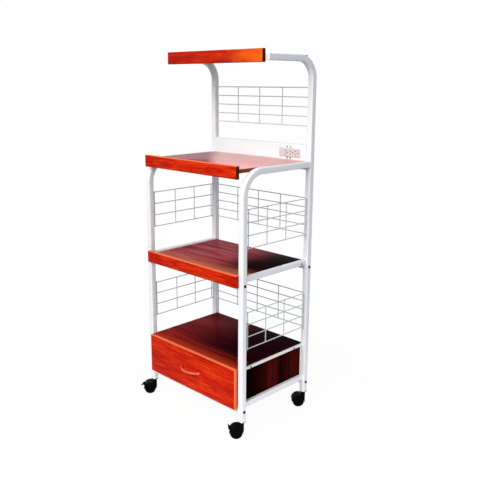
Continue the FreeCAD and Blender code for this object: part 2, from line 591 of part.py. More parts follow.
# plastic sockets in the feet of the legs, bored for the caster stems
sockets = []
for x in (LEG_X, -LEG_X):
    for y in (LEG_Y, POST_Y):
        flange = rounded_section(Vector(x, y, LEG_FOOT), X_AXIS, Y_AXIS, TUBE, TUBE, TUBE_ROUND)
        flange = flange.extrude(Vector(0, 0, -SOCKET_FLANGE))
        insert = rounded_section(Vector(x, y, LEG_FOOT), X_AXIS, Y_AXIS,
                                 plug_side, plug_side, TUBE_ROUND - WALL)
        insert = insert.extrude(Vector(0, 0, SOCKET_DEPTH))
        bore_length = SOCKET_FLANGE + SOCKET_DEPTH + 2 * PAST
        bore = rod(STEM_R + RUN_PLAY, (x, y, LEG_FOOT - SOCKET_FLANGE - PAST), Z_AXIS, bore_length)
        sockets.append(flange.fuse(insert).removeSplitter().cut(bore))
NODES["leg_sockets"] = Part.makeCompound(sockets)

# casters, drawn with the axle on Y through the origin and the stem behind it on -X
LEVER_HINGE = Vector(LEVER_CENTRE * math.cos(math.radians(LEVER_SPOT)), 0,
                     LEVER_CENTRE * math.sin(math.radians(LEVER_SPOT)))


def disc(radius, low, high):
    """Round plate around the axle line between two distances along it."""
    return rod(radius, (0, low, 0), Y_AXIS, high - low)


def wheel_pair():
    """Two wheels with rounded treads, a dished outer face and a bore for the axle."""
    low = WEB / 2 + WHEEL_GAP
    high = low + WHEEL_WIDTH
    wheel = disc(WHEEL_R, low, high)
    wheel = wheel.makeFillet(WHEEL_ROUND, [edge for edge in wheel.Edges if edge.Length > WHEEL_R])
    dish = disc(DISH_R, high - DISH_DEEP, high + PAST).cut(disc(HUB_R, high - DISH_DEEP, high + PAST))
    wheel = wheel.cut(dish).cut(disc(AXLE_R + RUN_PLAY, low - PAST, high + PAST))
    return Part.makeCompound([wheel, wheel.mirror(Vector(0, 0, 0), Y_AXIS)])


def caster_body(with_lever):
    """Hood with a web between the wheels, axle stubs, stem boss and stem."""
    hood = disc(HOOD_R, -HOOD_HALF, HOOD_HALF).cut(disc(HOOD_INNER_R, -HOOD_HALF - PAST, HOOD_HALF + PAST))
    web = disc(HOOD_R - WEB_INSET, -WEB / 2, WEB / 2)
    around = (-HOOD_CLEAR, HOOD_CLEAR)
    hood = hood.cut(box(around, around, (-HOOD_CLEAR, HOOD_LOW)))
    web = web.cut(box(around, around, (-HOOD_CLEAR, WEB_LOW)))
    boss = rod(BOSS_R, (-TRAIL, 0, 0), Z_AXIS, BOSS_TOP - WHEEL_R)
    for side in (1, -1):
        boss = boss.cut(disc(HOOD_INNER_R, *sorted((side * WEB / 2, side * HOOD_CLEAR))))
    neck = (-TRAIL, 0, BOSS_TOP - WHEEL_R - PAST)
    collar = rod(COLLAR_R, neck, Z_AXIS, LEG_FOOT - SOCKET_FLANGE - SEAT - BOSS_TOP + PAST)
    stem = rod(STEM_R, neck, Z_AXIS, STEM_TOP - BOSS_TOP + PAST)
    axle = disc(AXLE_R, -WEB / 2 - WHEEL_WIDTH, WEB / 2 + WHEEL_WIDTH)
    body = hood.fuse([web, boss, collar, stem, axle])
    if with_lever:
        lugs = []
        for side in (1, -1):
            span = sorted((side * (LEVER_HALF + LUG_PLAY), side * (LEVER_HALF + LUG_PLAY + LUG_THICK)))
            lugs.append(disc(LUG_R, *span))
        pin_half = LEVER_HALF + LUG_PLAY + LUG_THICK / 2
        lugs.append(disc(LEVER_PIN_R, -pin_half, pin_half))
        for lug in lugs:
            lug.translate(LEVER_HINGE)
            body = body.fuse(lug.cut(disc(HOOD_INNER_R, -HOOD_HALF, HOOD_HALF)))
    return body.removeSplitter()


def brake_lever(tilt):
    """Foot lever on its pin, tilted up from level."""
    barrel = disc(LEVER_BARREL_R, -LEVER_HALF, LEVER_HALF)
    paddle = box((0, LEVER_LENGTH), (-LEVER_HALF, LEVER_HALF), (-LEVER_THICK / 2, LEVER_THICK / 2))
    ends = [edge for edge in paddle.Edges if edge.BoundBox.XMin > LEVER_LENGTH - 0.01
            and edge.BoundBox.ZLength > LEVER_THICK / 2]
    lever = barrel.fuse(paddle.makeFillet(EDGE_ROUND, ends)).removeSplitter()
    lever = lever.cut(disc(LEVER_PIN_R + RUN_PLAY, -LEVER_HALF - PAST, LEVER_HALF + PAST))
    lever.rotate(Vector(0, 0, 0), Y_AXIS, -tilt)
    lever.translate(LEVER_HINGE)
    return lever


def at_caster(shape, corner):
    """A copy of a caster piece, turned and set under its leg."""
    turn = Rotation(Z_AXIS, CASTER_TURN[corner])
    x = LEG_X if corner.endswith("right") else -LEG_X
    y = LEG_Y if corner.startswith("front") else POST_Y
    placed = shape.copy()
    placed.Placement = Placement(Vector(x, y, WHEEL_R) + turn.multVec(Vector(TRAIL, 0, 0)), turn)
    return placed


for corner in CASTER_TURN:
    braked = corner in LEVER_TILT
    NODES[corner + "_caster"] = at_caster(caster_body(braked), corner)
    NODES[corner + "_wheels"] = at_caster(wheel_pair(), corner)
    if braked:
        NODES[corner + "_brake"] = at_caster(Part.makeCompound([brake_lever(LEVER_TILT[corner])]), corner)

for name, shape in NODES.items():
    shape.translate(Vector(-ORIGIN_X, -ORIGIN_Y, 0))
    shape.exportStep("parts/" + name + ".step")
for name, shape in NODES.items():
    if not shape.isValid() or any(solid.Volume <= 0 for solid in shape.Solids) or not shape.Solids:
        print("check", name)
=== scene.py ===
import json
import logging
import math
from dataclasses import dataclass
from enum import Enum
from typing import Any, Mapping, Sequence

import bmesh
import bpy
from bmesh.types import BMEdge, BMesh, BMFace
from bpy.types import Material, Mesh, Node, NodeSocket, NodeTree, Object, Scene
from mathutils import Matrix, Vector


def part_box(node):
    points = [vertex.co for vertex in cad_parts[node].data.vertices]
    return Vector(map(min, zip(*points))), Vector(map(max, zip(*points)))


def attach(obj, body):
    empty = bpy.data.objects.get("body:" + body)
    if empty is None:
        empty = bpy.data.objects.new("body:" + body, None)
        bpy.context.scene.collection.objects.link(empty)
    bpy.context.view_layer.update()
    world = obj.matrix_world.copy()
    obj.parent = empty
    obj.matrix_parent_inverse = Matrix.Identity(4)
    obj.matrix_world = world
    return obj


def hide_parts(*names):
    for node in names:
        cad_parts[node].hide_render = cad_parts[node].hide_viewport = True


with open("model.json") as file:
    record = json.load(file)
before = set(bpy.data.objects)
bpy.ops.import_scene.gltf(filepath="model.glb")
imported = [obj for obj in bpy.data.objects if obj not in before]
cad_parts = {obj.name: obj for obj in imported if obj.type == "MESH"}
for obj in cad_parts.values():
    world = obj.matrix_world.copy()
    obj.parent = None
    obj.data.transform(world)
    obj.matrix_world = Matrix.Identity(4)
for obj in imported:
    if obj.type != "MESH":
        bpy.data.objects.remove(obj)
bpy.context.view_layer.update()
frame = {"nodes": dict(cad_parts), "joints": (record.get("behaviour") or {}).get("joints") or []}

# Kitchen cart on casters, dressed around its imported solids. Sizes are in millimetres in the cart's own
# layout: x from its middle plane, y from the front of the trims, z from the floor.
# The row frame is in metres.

LOG = logging.getLogger("kitchen_cart")
# Metres in a millimetre, the row frame's origin in the cart's layout, and the cart's two sides.
MM = 0.001
ORIGIN_X, ORIGIN_Y = -14.49, 203.23
HANDS = (("right", 1), ("left", -1))

# Sizes that several sub-assemblies share: the tube's width, the middle lines of the legs and posts, the
# posts' front faces, the upper faces of the worktop rails and the top arms, the thickness of the boards and
# of the tabs under them, where these tabs lie, and the height of the drawer's handle.
TUBE = 25.0
LEG_X, LEG_Y, POST_Y = 278.7, 28.1, 414.5
POST_FRONT = POST_Y - TUBE / 2
RAIL_TOP, ARM_TOP = 1078.0, 1490.5
BOARD_THICK, TAB_THICK = 15.0, 3.0
WORKTOP_TABS, TOP_TABS = (150.0, 330.0), (190.0, 300.0)
HANDLE_Z = 207.0

Point = tuple[float, float, float]
Line = tuple[Vector, Vector]


class Slot(Enum):
    """Material slots of the record."""

    STEEL = "white_steel"
    FRONT = "cherry_front"
    BOARD = "cherry_board"
    PLAIN = "plain_board"
    PLASTIC = "white_plastic"
    NYLON = "black_nylon"
    BLACK = "black_steel"
    ZINC = "zinc_steel"


class Grain(Enum):
    """Direction in which a wood grain runs."""

    ACROSS = 0
    DEEP = 1
    UPRIGHT = 2


class Side(Enum):
    """Faces of a board: axis number and direction."""

    LEFT = (0, -1)
    RIGHT = (0, 1)
    FRONT = (1, -1)
    BACK = (1, 1)
    BOTTOM = (2, -1)
    TOP = (2, 1)


ROUND_THE_EDGE = (Side.LEFT, Side.RIGHT, Side.FRONT, Side.BACK)


def at(x: float, y: float, z: float) -> Vector:
    """Point of the cart's layout in the row frame.

    Args:
        x: Millimetres from the middle plane.
        y: Millimetres from the front of the trims.
        z: Millimetres from the floor.

    Returns:
        The point in metres.
    """
    return Vector((x - ORIGIN_X, y - ORIGIN_Y, z)) * MM


def linear(colour: str) -> tuple[float, float, float, float]:
    """Turn an sRGB hex colour into linear values.

    Args:
        colour: Colour such as "#C0FFEE".

    Returns:
        Red, green, blue and alpha.
    """
    parts = [int(colour[i:i + 2], 16) / 255 for i in (1, 3, 5)]
    red, green, blue = [p / 12.92 if p <= 0.04045 else ((p + 0.055) / 1.055) ** 2.4 for p in parts]
    return red, green, blue, 1.0


def per_metre(size_mm: float) -> float:
    """Texture scale at which one cell of a pattern measures so many millimetres."""
    return 1000.0 / size_mm


def feed(node: Node, inputs: Mapping[Any, Any]) -> Node:
    """Set or link a node's inputs.

    Args:
        node: The node to feed.
        inputs: Socket name or number to a value, an output socket or a node whose first output is meant.

    Returns:
        The same node.
    """
    for key, value in inputs.items():
        if isinstance(value, Node):
            value = value.outputs[0]
        if isinstance(value, NodeSocket):
            node.id_data.links.new(value, node.inputs[key])
        else:
            node.inputs[key].default_value = value
    return node


def add(tree: NodeTree, kind: str, inputs: Mapping[Any, Any] | None = None,
        **settings: Any) -> Node:
    """Add a node with its settings and links.

    Args:
        tree: Tree that gets the node.
        kind: The node's type name.
        inputs: What feeds its sockets.
        settings: The node's own properties.

    Returns:
        The new node.
    """
    node = tree.nodes.new(kind)
    for name, value in settings.items():
        setattr(node, name, value)
    return feed(node, inputs or {})


# finishes

# Span that a noise pattern mostly keeps to, over which the gloss is spread.
NOISE_LOW, NOISE_HIGH = 0.3, 0.7
# Fineness of a coating's clouds and peel, and how strongly the peel bends the light.
CLOUD_DETAIL, PEEL_DETAIL, PEEL_BUMP = 4.0, 2.0, 0.4
# Fineness and wandering of a sheet's streaks and bands, and the fineness of its pores.
STREAK_DETAIL, STREAK_CONTRAST, STREAK_WANDER = 5.0, 0.62, 0.5
BAND_DETAIL, BAND_WANDER = 2.0, 0.8
PORE_DETAIL = 1.0
# A band's width and length in streaks, and its share of the grain.
BAND_WIDER, BAND_LONGER, BAND_SHARE = 7.0, 3.0, 0.4
# Grain at which the deep, the middle and the bright tone lie.
DEEP_AT, BODY_AT, BRIGHT_AT = 0.36, 0.5, 0.64
# Pore pattern from which a pore starts, and at which it is darkest.
PORE_FROM, PORE_FULL = 0.58, 0.72
# A sheet's least and greatest roughness in parts of its own, and the relief of its pores.
GLOSSIEST, DULLEST = 0.8, 1.25
PORE_BUMP, PORE_DEPTH = 0.25, 0.1 * MM


@dataclass(frozen=True)
class Finish:
    """A surface of one real material, painted by nodes on object coordinates."""

    name: str

    def material(self) -> Material:
        """Make the material, or find it where it was made before.

        Returns:
            The material.
        """
        found = bpy.data.materials.get(self.name)
        if found:
            return found
        made = bpy.data.materials.new(self.name)
        made.use_nodes = True
        tree = made.node_tree
        place = add(tree, "ShaderNodeTexCoord").outputs["Object"]
        self.paint(tree, tree.nodes["Principled BSDF"], place)
        return made

    def paint(self, tree: NodeTree, shader: Node, place: NodeSocket) -> None:
        """Build the nodes.

        Args:
            tree: The material's tree.
            shader: Its Principled shader.
            place: Object coordinates.
        """
        raise NotImplementedError


@dataclass(frozen=True)
class Coating(Finish):
    """Sprayed or moulded skin: slow clouds of tone, and a fine peel that breaks up the gloss."""

    colour: str
    shade: str
    cloud_mm: float
    peel_mm: float
    smooth: float
    rough: float
    bump_mm: float
    metallic: float = 0.0
    specular: float = 0.5

    def paint(self, tree: NodeTree, shader: Node, place: NodeSocket) -> None:
        """Build the nodes.

        Args:
            tree: The material's tree.
            shader: Its Principled shader.
            place: Object coordinates.
        """
        cloud = add(tree, "ShaderNodeTexNoise", {"Vector": place, "Scale": per_metre(self.cloud_mm),
                                                 "Detail": CLOUD_DETAIL})
        tone = add(tree, "ShaderNodeMix", {0: cloud, 6: linear(self.colour), 7: linear(self.shade)},
                   data_type="RGBA")
        peel = add(tree, "ShaderNodeTexNoise", {"Vector": place, "Scale": per_metre(self.peel_mm),
                                                "Detail": PEEL_DETAIL})
        gloss = add(tree, "ShaderNodeMapRange", {"Value": peel, "From Min": NOISE_LOW, "From Max": NOISE_HIGH,
                                                 "To Min": self.smooth, "To Max": self.rough})
        bump = add(tree, "ShaderNodeBump", {"Strength": PEEL_BUMP, "Distance": self.bump_mm * MM,
                                            "Height": peel})
        feed(shader, {"Base Color": tone.outputs[2], "Roughness": gloss, "Normal": bump,
                      "Metallic": self.metallic, "Specular IOR Level": self.specular})


@dataclass(frozen=True)
class Drift:
    """Slow change of tone over a sheet, between two points of the cart's layout; most drifts here are painted
    light and shade.
    """

    start: Point
    end: Point
    colour: str
    most: float
    ragged: float = 2.0

    def over(self, tree: NodeTree, place: NodeSocket, grain: NodeSocket,
             colour: NodeSocket) -> NodeSocket:
        """Mix the sheet's colour towards the drift's colour.

        Args:
            tree: The material's tree.
            place: Object coordinates.
            grain: The sheet's grain, about one half on average.
            colour: The sheet's colour so far.

        Returns:
            The mixed colour.
        """
        first, last = at(*self.start), at(*self.end)
        run = (last - first) / (last - first).length_squared
        along = add(tree, "ShaderNodeVectorMath", {0: place, 1: run}, operation="DOT_PRODUCT")
        torn = add(tree, "ShaderNodeMath", {0: grain, 1: self.ragged, 2: along.outputs["Value"]},
                   operation="MULTIPLY_ADD")
        whole = add(tree, "ShaderNodeMath", {0: torn, 1: self.ragged / 2}, operation="SUBTRACT")
        share = add(tree, "ShaderNodeMapRange", {"Value": whole, "From Min": first.dot(run),
                                                 "From Max": last.dot(run), "To Max": self.most},
                    interpolation_type="SMOOTHSTEP")
        mixed = add(tree, "ShaderNodeMix", {0: share, 6: colour, 7: linear(self.colour)}, data_type="RGBA")
        return mixed.outputs[2]


@dataclass(frozen=True)
class WoodSheet(Finish):
    """Wood-grain sheet on board: streaks, slower bands, dark pores, and other colours on edges and ends; its
    drifts mostly paint light and shade, and on the trims the edge colour is a painted highlight and the end
    colour partly painted shade.
    """

    deep: str
    body: str
    bright: str
    edge: str
    end: str
    grain: Grain
    streak_mm: float = 5.0
    length_mm: float = 170.0
    pore_mm: float = 1.6
    pore_length_mm: float = 22.0
    pores: float = 0.45
    roughness: float = 0.28
    specular: float = 0.5
    drifts: tuple[Drift, ...] = ()

    def stretched(self, tree: NodeTree, place: NodeSocket, width: float,
                  length: float) -> Node:
        """Object coordinates stretched along the grain.

        Args:
            tree: The material's tree.
            place: Object coordinates.
            width: Cell size across the grain in millimetres.
            length: Cell size along the grain in millimetres.

        Returns:
            The mapping node.
        """
        scale = [per_metre(length if axis == self.grain.value else width) for axis in range(3)]
        return add(tree, "ShaderNodeMapping", {"Vector": place, "Scale": scale})

    def paint(self, tree: NodeTree, shader: Node, place: NodeSocket) -> None:
        """Build the nodes.

        Args:
            tree: The material's tree.
            shader: Its Principled shader.
            place: Object coordinates.
        """
        narrow = self.stretched(tree, place, self.streak_mm, self.length_mm)
        streaks = add(tree, "ShaderNodeTexNoise", {"Vector": narrow, "Scale": 1.0, "Detail": STREAK_DETAIL,
                                                   "Roughness": STREAK_CONTRAST, "Distortion": STREAK_WANDER})
        wide = self.stretched(tree, place, self.streak_mm * BAND_WIDER, self.length_mm * BAND_LONGER)
        bands = add(tree, "ShaderNodeTexNoise", {"Vector": wide, "Scale": 1.0, "Detail": BAND_DETAIL,
                                                 "Distortion": BAND_WANDER})
        grain = add(tree, "ShaderNodeMix", {0: BAND_SHARE, 2: streaks, 3: bands}, data_type="FLOAT")
        ramp = add(tree, "ShaderNodeValToRGB", {"Fac": grain.outputs[0]})
        stops = ramp.color_ramp.elements
        stops[0].position, stops[0].color = DEEP_AT, linear(self.deep)
        stops[1].position, stops[1].color = BRIGHT_AT, linear(self.bright)
        stops.new(BODY_AT).color = linear(self.body)
        fine = self.stretched(tree, place, self.pore_mm, self.pore_length_mm)
        ticks = add(tree, "ShaderNodeTexNoise", {"Vector": fine, "Scale": 1.0, "Detail": PORE_DETAIL})
        pore = add(tree, "ShaderNodeMapRange", {"Value": ticks, "From Min": PORE_FROM, "From Max": PORE_FULL,
                                                "To Max": self.pores})
        pored = add(tree, "ShaderNodeMix", {0: pore, 6: ramp, 7: linear(self.deep)}, data_type="RGBA")
        colour = pored.outputs[2]
        # Drifts of tone: mostly painted light and shade laid over the sheet.
        for drift in self.drifts:
            colour = drift.over(tree, place, grain.outputs[0], colour)
        # Edge and end colours: real edges and ends on boards; on the trims, a painted highlight on top edges
        # and painted shade on bottoms.
        for attribute, paint in (("edge", self.edge), ("end", self.end)):
            share = add(tree, "ShaderNodeAttribute", attribute_name=attribute)
            colour = add(tree, "ShaderNodeMix", {0: share.outputs["Fac"], 6: colour, 7: linear(paint)},
                         data_type="RGBA").outputs[2]
        gloss = add(tree, "ShaderNodeMapRange", {"Value": streaks, "From Min": NOISE_LOW,
                                                 "From Max": NOISE_HIGH, "To Min": self.roughness * GLOSSIEST,
                                                 "To Max": self.roughness * DULLEST})
        bump = add(tree, "ShaderNodeBump", {"Strength": PORE_BUMP, "Distance": PORE_DEPTH, "Height": ticks})
        feed(shader, {"Base Color": colour, "Roughness": gloss, "Normal": bump,
                      "Specular IOR Level": self.specular})


# Polyester powder coat on steel: white, satin, with a faint orange peel.
# The peel is drawn coarser than the real 0.5 mm, so that it shows.
POWDER_COAT = Coating("powder_coated_steel", "#F1F3F7", "#E9EBF0", cloud_mm=60.0, peel_mm=2.4,
                      smooth=0.36, rough=0.48, bump_mm=0.06, specular=0.3)
# Baked enamel of the power panel: white with a painted cool tint, colder than the tubes, that offsets the
# pink light bounced onto it from the worktop.
PANEL_ENAMEL = Coating("enamelled_steel", "#E7F4F5", "#E3F0F2", cloud_mm=80.0, peel_mm=2.4,
                       smooth=0.36, rough=0.48, bump_mm=0.04, specular=0.3)
# Dip-coated wire: white painted greyer, as painted shade on its thin round sides that turn away from the
# light.
COATED_WIRE = Coating("plastic_coated_wire", "#D2D5D9", "#C4C8CD", cloud_mm=25.0, peel_mm=3.0,
                      smooth=0.36, rough=0.5, bump_mm=0.05, specular=0.3)
# Injection-moulded ABS of the outlet strip: warm white with a fine spark-eroded texture.
OUTLET_ABS = Coating("moulded_abs", "#D9D0D0", "#D0C6C6", cloud_mm=30.0, peel_mm=1.6,
                     smooth=0.4, rough=0.55, bump_mm=0.04, specular=0.3)
# Painted shade inside the outlet slots: a near-black colour on the slot walls and floors that stands for the
# shaded hollow.
SLOT_SHADE = Coating("painted_slot_shade", "#1A100C", "#0E0A08", cloud_mm=3.0, peel_mm=1.0,
                       smooth=0.5, rough=0.7, bump_mm=0.02, specular=0.02)
# Polypropylene caps and runners: plain milky white.
MILKY_PP = Coating("moulded_polypropylene", "#ECECEA", "#DFDFDC", cloud_mm=30.0, peel_mm=2.0,
                   smooth=0.4, rough=0.55, bump_mm=0.05)
# Glass-filled nylon of the casters: near black with a dull moulded skin.
CASTER_NYLON = Coating("moulded_nylon", "#030404", "#070808", cloud_mm=12.0, peel_mm=1.8,
                       smooth=0.4, rough=0.6, bump_mm=0.08, specular=0.03)
# Chemically blackened steel of bolts and screws: nearly black with an oily sheen.
BLACKENED_STEEL = Coating("blackened_steel", "#141518", "#0B0C0E", cloud_mm=4.0, peel_mm=1.2,
                          smooth=0.4, rough=0.6, bump_mm=0.03, specular=0.1)
# Bright zinc plate: bluish grey metal with a spangle.
ZINC_PLATE = Coating("zinc_plated_steel", "#B9BEC4", "#9FA5AD", cloud_mm=5.0, peel_mm=1.4,
                     smooth=0.25, rough=0.42, bump_mm=0.02, metallic=1.0)

# Lacquered cherry foil on the trims and the drawer front: mottled orange red; its pale edge colour is a
# painted highlight on rounded top edges, and its dark end colour marks the ends and is painted shade on the
# bottoms.
CHERRY_FRONT = WoodSheet("lacquered_cherry_foil", deep="#8E1004", body="#C4210A", bright="#E24216",
                         edge="#EC7648", end="#4A1A0C", grain=Grain.ACROSS, streak_mm=6.0, length_mm=80.0,
                         pores=0.75, roughness=0.34, specular=0.02)
# The top trim's foil: the same sheet, with a painted highlight that turns it orange towards its right end.
CHERRY_TOP = WoodSheet("lacquered_cherry_foil_top", deep="#8A1206", body="#B41E0A", bright="#CC300C",
                       edge="#D86834", end="#3E160C", grain=Grain.ACROSS, streak_mm=6.0, length_mm=80.0,
                       pores=0.6, roughness=0.34, specular=0.02,
                       drifts=(Drift((40.0, 133.0, 1490.0), (285.0, 133.0, 1490.0), "#EE6418", most=0.9),))
# Varnished cherry bow: the same red, paler all over as a painted highlight.
CHERRY_HANDLE = WoodSheet("varnished_cherry_bow", deep="#C83A22", body="#DE5438", bright="#EA7250",
                          edge="#E07E4C", end="#4A1A0C", grain=Grain.ACROSS, roughness=0.3, specular=0.2)
# Melamine worktop: cherry sheet painted pink all over as a painted reflection of the white surround, with its
# own gloss nearly off, turning to a dusky rose at its front left as a painted darker reflection.
CHERRY_WORKTOP = WoodSheet("cherry_melamine_worktop", deep="#F6B4B3", body="#F9BCBB", bright="#FBC2C0",
                           edge="#7A4324", end="#7A4324", grain=Grain.ACROSS, roughness=0.14,
                           specular=0.002,
                           drifts=(Drift((88.0, 89.0, 0.0), (44.0, 45.0, 0.0), "#9E4050", most=1.0,
                                         ragged=0.5),))
# Melamine of the middle shelf: cherry sheet with a painted dark reflection that turns it nearly black towards
# its right, and painted light that turns it pale brown near its front.
CHERRY_SHELF = WoodSheet("cherry_melamine_shelf", deep="#581018", body="#A03E46", bright="#CE6A6E",
                         edge="#7A4324", end="#7A4324", grain=Grain.ACROSS, streak_mm=11.0, length_mm=240.0,
                         roughness=0.2, specular=0.001,
                         drifts=(Drift((-20.0, 250.0, 0.0), (170.0, 250.0, 0.0), "#0C0308", most=0.98),
                                 Drift((0.0, 165.0, 0.0), (0.0, 35.0, 0.0), "#BE6A50", most=0.85)))
# Melamine of the lower shelf: the same sheet in a deeper tone, with a painted dark reflection towards its
# right and painted light that turns it orange red near its front.
CHERRY_LOWER = WoodSheet("cherry_melamine_lower", deep="#440910", body="#74141A", bright="#A02426",
                         edge="#7A4324", end="#7A4324", grain=Grain.ACROSS, streak_mm=11.0, length_mm=240.0,
                         roughness=0.2, specular=0.001,
                         drifts=(Drift((-260.0, 250.0, 0.0), (100.0, 250.0, 0.0), "#12040A", most=0.95),
                                 Drift((0.0, 120.0, 0.0), (0.0, 10.0, 0.0), "#B0301A", most=0.8)))
# Melamine of the top shelf: the deep sheet without a change of tone.
CHERRY_UPPER = WoodSheet("cherry_melamine_upper", deep="#440910", body="#74141A", bright="#A02426",
                         edge="#7A4324", end="#7A4324", grain=Grain.ACROSS, streak_mm=11.0, length_mm=240.0,
                         roughness=0.2, specular=0.05)
# Melamine cabinet sides: a dark sheet with upright streaks, nearly black at the front and redder at the back.
CHERRY_SIDE = WoodSheet("cherry_melamine_side", deep="#0A0102", body="#280605", bright="#4E0F0C",
                        edge="#3A1A10", end="#3A1A10", grain=Grain.UPRIGHT, streak_mm=22.0, length_mm=600.0,
                        roughness=0.4, specular=0.002,
                        drifts=(Drift((0.0, 190.0, 0.0), (0.0, 80.0, 0.0), "#060102", most=0.92),
                                Drift((0.0, 250.0, 0.0), (0.0, 370.0, 0.0), "#5C100E", most=0.5)))
# Plain particle board with a beige paper face: the drawer box, and the cabinet's floor and back.
PAPER_BOARD = WoodSheet("papered_particle_board", deep="#8A6A48", body="#A98860", bright="#BF9F76",
                        edge="#94714C", end="#94714C", grain=Grain.DEEP, streak_mm=4.0, length_mm=60.0,
                        roughness=0.6, specular=0.3)


# meshes

# Angle over which an edge is drawn sharp, and over which a board's or a CAD copy's edge is eased.
SHARP, BOARD_CORNER, NODE_CORNER = (math.radians(turn) for turn in (35.0, 60.0, 50.0))
# Faces of a CAD copy that turn by less are one face.
FLAT = math.radians(0.5)
# Steps round a rounded front edge, round an eased one and in a quarter turn, and the profile of a round edge.
ROUND_STEPS, EASE_STEPS, QUARTER_STEPS = 4, 2, 4
ROUND_PROFILE = 0.5
# How squarely a face looks to one side, and a rounded edge's face partly to it.
SQUARE_ON, PARTLY_ON = 0.9, 0.3
SAME_PLACE = 1e-6


def link(name: str, mesh: Mesh) -> Object:
    """Put a mesh into the scene as an object at the origin.

    Args:
        name: The piece's name.
        mesh: Its mesh, with its place in its points.

    Returns:
        The object.
    """
    mesh.shade_smooth()
    mesh.set_sharp_from_angle(angle=SHARP)
    piece = bpy.data.objects.new(name, mesh)
    bpy.context.scene.collection.objects.link(piece)
    return piece


def from_bmesh(name: str, shape: BMesh, finish: Finish) -> Object:
    """Make an object of a finished bmesh.

    Args:
        name: The piece's name.
        shape: The bmesh, which is freed.
        finish: The piece's finish.

    Returns:
        The object.
    """
    mesh = bpy.data.meshes.new(name)
    shape.to_mesh(mesh)
    shape.free()
    mesh.materials.append(finish.material())
    return link(name, mesh)


def settle(piece: Object, body: str, slot: Slot, *nodes: str) -> None:
    """Let a finished piece ride on its body and stand for its nodes.

    Args:
        piece: The piece.
        body: Body that it moves with.
        slot: Material slot of the record; not used.
        nodes: CAD nodes that it stands for.
    """
    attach(piece, body)
    if nodes:
        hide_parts(*nodes)
    LOG.info("%s on %s, %d faces", piece.name, body, len(piece.data.polygons))


def rounded(shape: BMesh, edges: Sequence[BMEdge], radius: float, steps: int) -> list[BMFace]:
    """Round edges of a bmesh.

    Args:
        shape: The bmesh.
        edges: Its edges to round.
        radius: Width of the rounding in millimetres.
        steps: Steps round each edge.

    Returns:
        The new faces.
    """
    made = bmesh.ops.bevel(shape, geom=list(edges), offset=radius * MM, segments=steps,
                           profile=ROUND_PROFILE, affect="EDGES", clamp_overlap=True)
    return made["faces"]


def looks_to(normal: Vector, sides: Sequence[Side], least: float) -> float:
    """One where a face's normal leans towards one of the sides by at least so much, or else zero."""
    return float(any(normal[side.value[0]] * side.value[1] > least for side in sides))


def block(shape: BMesh, low: Vector, high: Vector, front_round: float, ease: float,
          banded_and_highlit: Sequence[Side] = (), sawn_and_shaded: Sequence[Side] = ()) -> None:
    """Add a board with eased edges to a bmesh.

    Args:
        shape: The bmesh that gets the board.
        low: Lowest corner in metres.
        high: Highest corner in metres.
        front_round: Radius of the edges round its front face in millimetres, or 0.
        ease: Radius of the other edges in millimetres.
        banded_and_highlit: Faces that show the edge colour.
        sawn_and_shaded: Faces that show the end colour.
    """
    # Face marks for the edge and end colours: the edge colour is a real band on boards and a painted
    # highlight on trims; the end colour marks dark ends, and painted shade on the trims' bottoms.
    edge = shape.faces.layers.float.get("edge") or shape.faces.layers.float.new("edge")
    end = shape.faces.layers.float.get("end") or shape.faces.layers.float.new("end")
    place = Matrix.Translation((low + high) / 2) @ Matrix.Diagonal((*(high - low), 1.0))
    verts = bmesh.ops.create_cube(shape, size=1.0, matrix=place)["verts"]
    for face in {face for vert in verts for face in vert.link_faces}:
        face.normal_update()
        face[edge] = looks_to(face.normal, banded_and_highlit, SQUARE_ON)
        face[end] = looks_to(face.normal, sawn_and_shaded, SQUARE_ON)
    around = {e for vert in verts for e in vert.link_edges}
    if front_round:
        front = [e for e in around if all(abs(v.co.y - low.y) < SAME_PLACE for v in e.verts)]
        for face in rounded(shape, front, front_round, ROUND_STEPS):
            face.normal_update()
            face[edge] = looks_to(face.normal, banded_and_highlit, PARTLY_ON)
            face[end] = looks_to(face.normal, sawn_and_shaded, PARTLY_ON)
        around = [e for e in shape.edges if e.is_valid and e.calc_face_angle(0.0) > BOARD_CORNER]
    rounded(shape, around, ease, EASE_STEPS)


def board(name: str, node: str, finish: Finish, body: str, slot: Slot, ease: float, front_round: float = 0.0,
          banded_and_highlit: Sequence[Side] = (), sawn_and_shaded: Sequence[Side] = ()) -> None:
    """Make the board that stands for a CAD node.

    Args:
        name: The piece's name.
        node: The CAD node.
        finish: The board's finish.
        body: Body that it moves with.
        slot: Material slot of the record.
        ease: Radius of its edges in millimetres.
        front_round: Radius of the edges round its front face in millimetres, or 0.
        banded_and_highlit: Faces that show the edge colour.
        sawn_and_shaded: Faces that show the end colour.
    """
    shape = bmesh.new()
    block(shape, *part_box(node), front_round, ease, banded_and_highlit, sawn_and_shaded)
    settle(from_bmesh(name, shape, finish), body, slot, node)


def eased_node(node: str, name: str, finish: Finish, ease: float) -> Object:
    """Copy of a CAD node with merged points and eased edges.

    Args:
        node: The CAD node.
        name: The piece's name.
        finish: The piece's finish.
        ease: Width of the eased edges in millimetres, or 0 for none.

    Returns:
        The new piece.
    """
    shape = bmesh.new()
    shape.from_mesh(frame["nodes"][node].data)
    bmesh.ops.remove_doubles(shape, verts=shape.verts, dist=SAME_PLACE)
    if ease:
        bmesh.ops.dissolve_limit(shape, angle_limit=FLAT, verts=shape.verts, edges=shape.edges)
        rounded(shape, [e for e in shape.edges if e.calc_face_angle(0.0) > NODE_CORNER], ease, EASE_STEPS)
    return from_bmesh(name, shape, finish)


def quarter_turn(quarter: int = 0) -> list[float]:
    """Angles from the start to the end of a quarter turn, in radians."""
    return [math.radians(90 * (quarter + step / QUARTER_STEPS)) for step in range(QUARTER_STEPS + 1)]


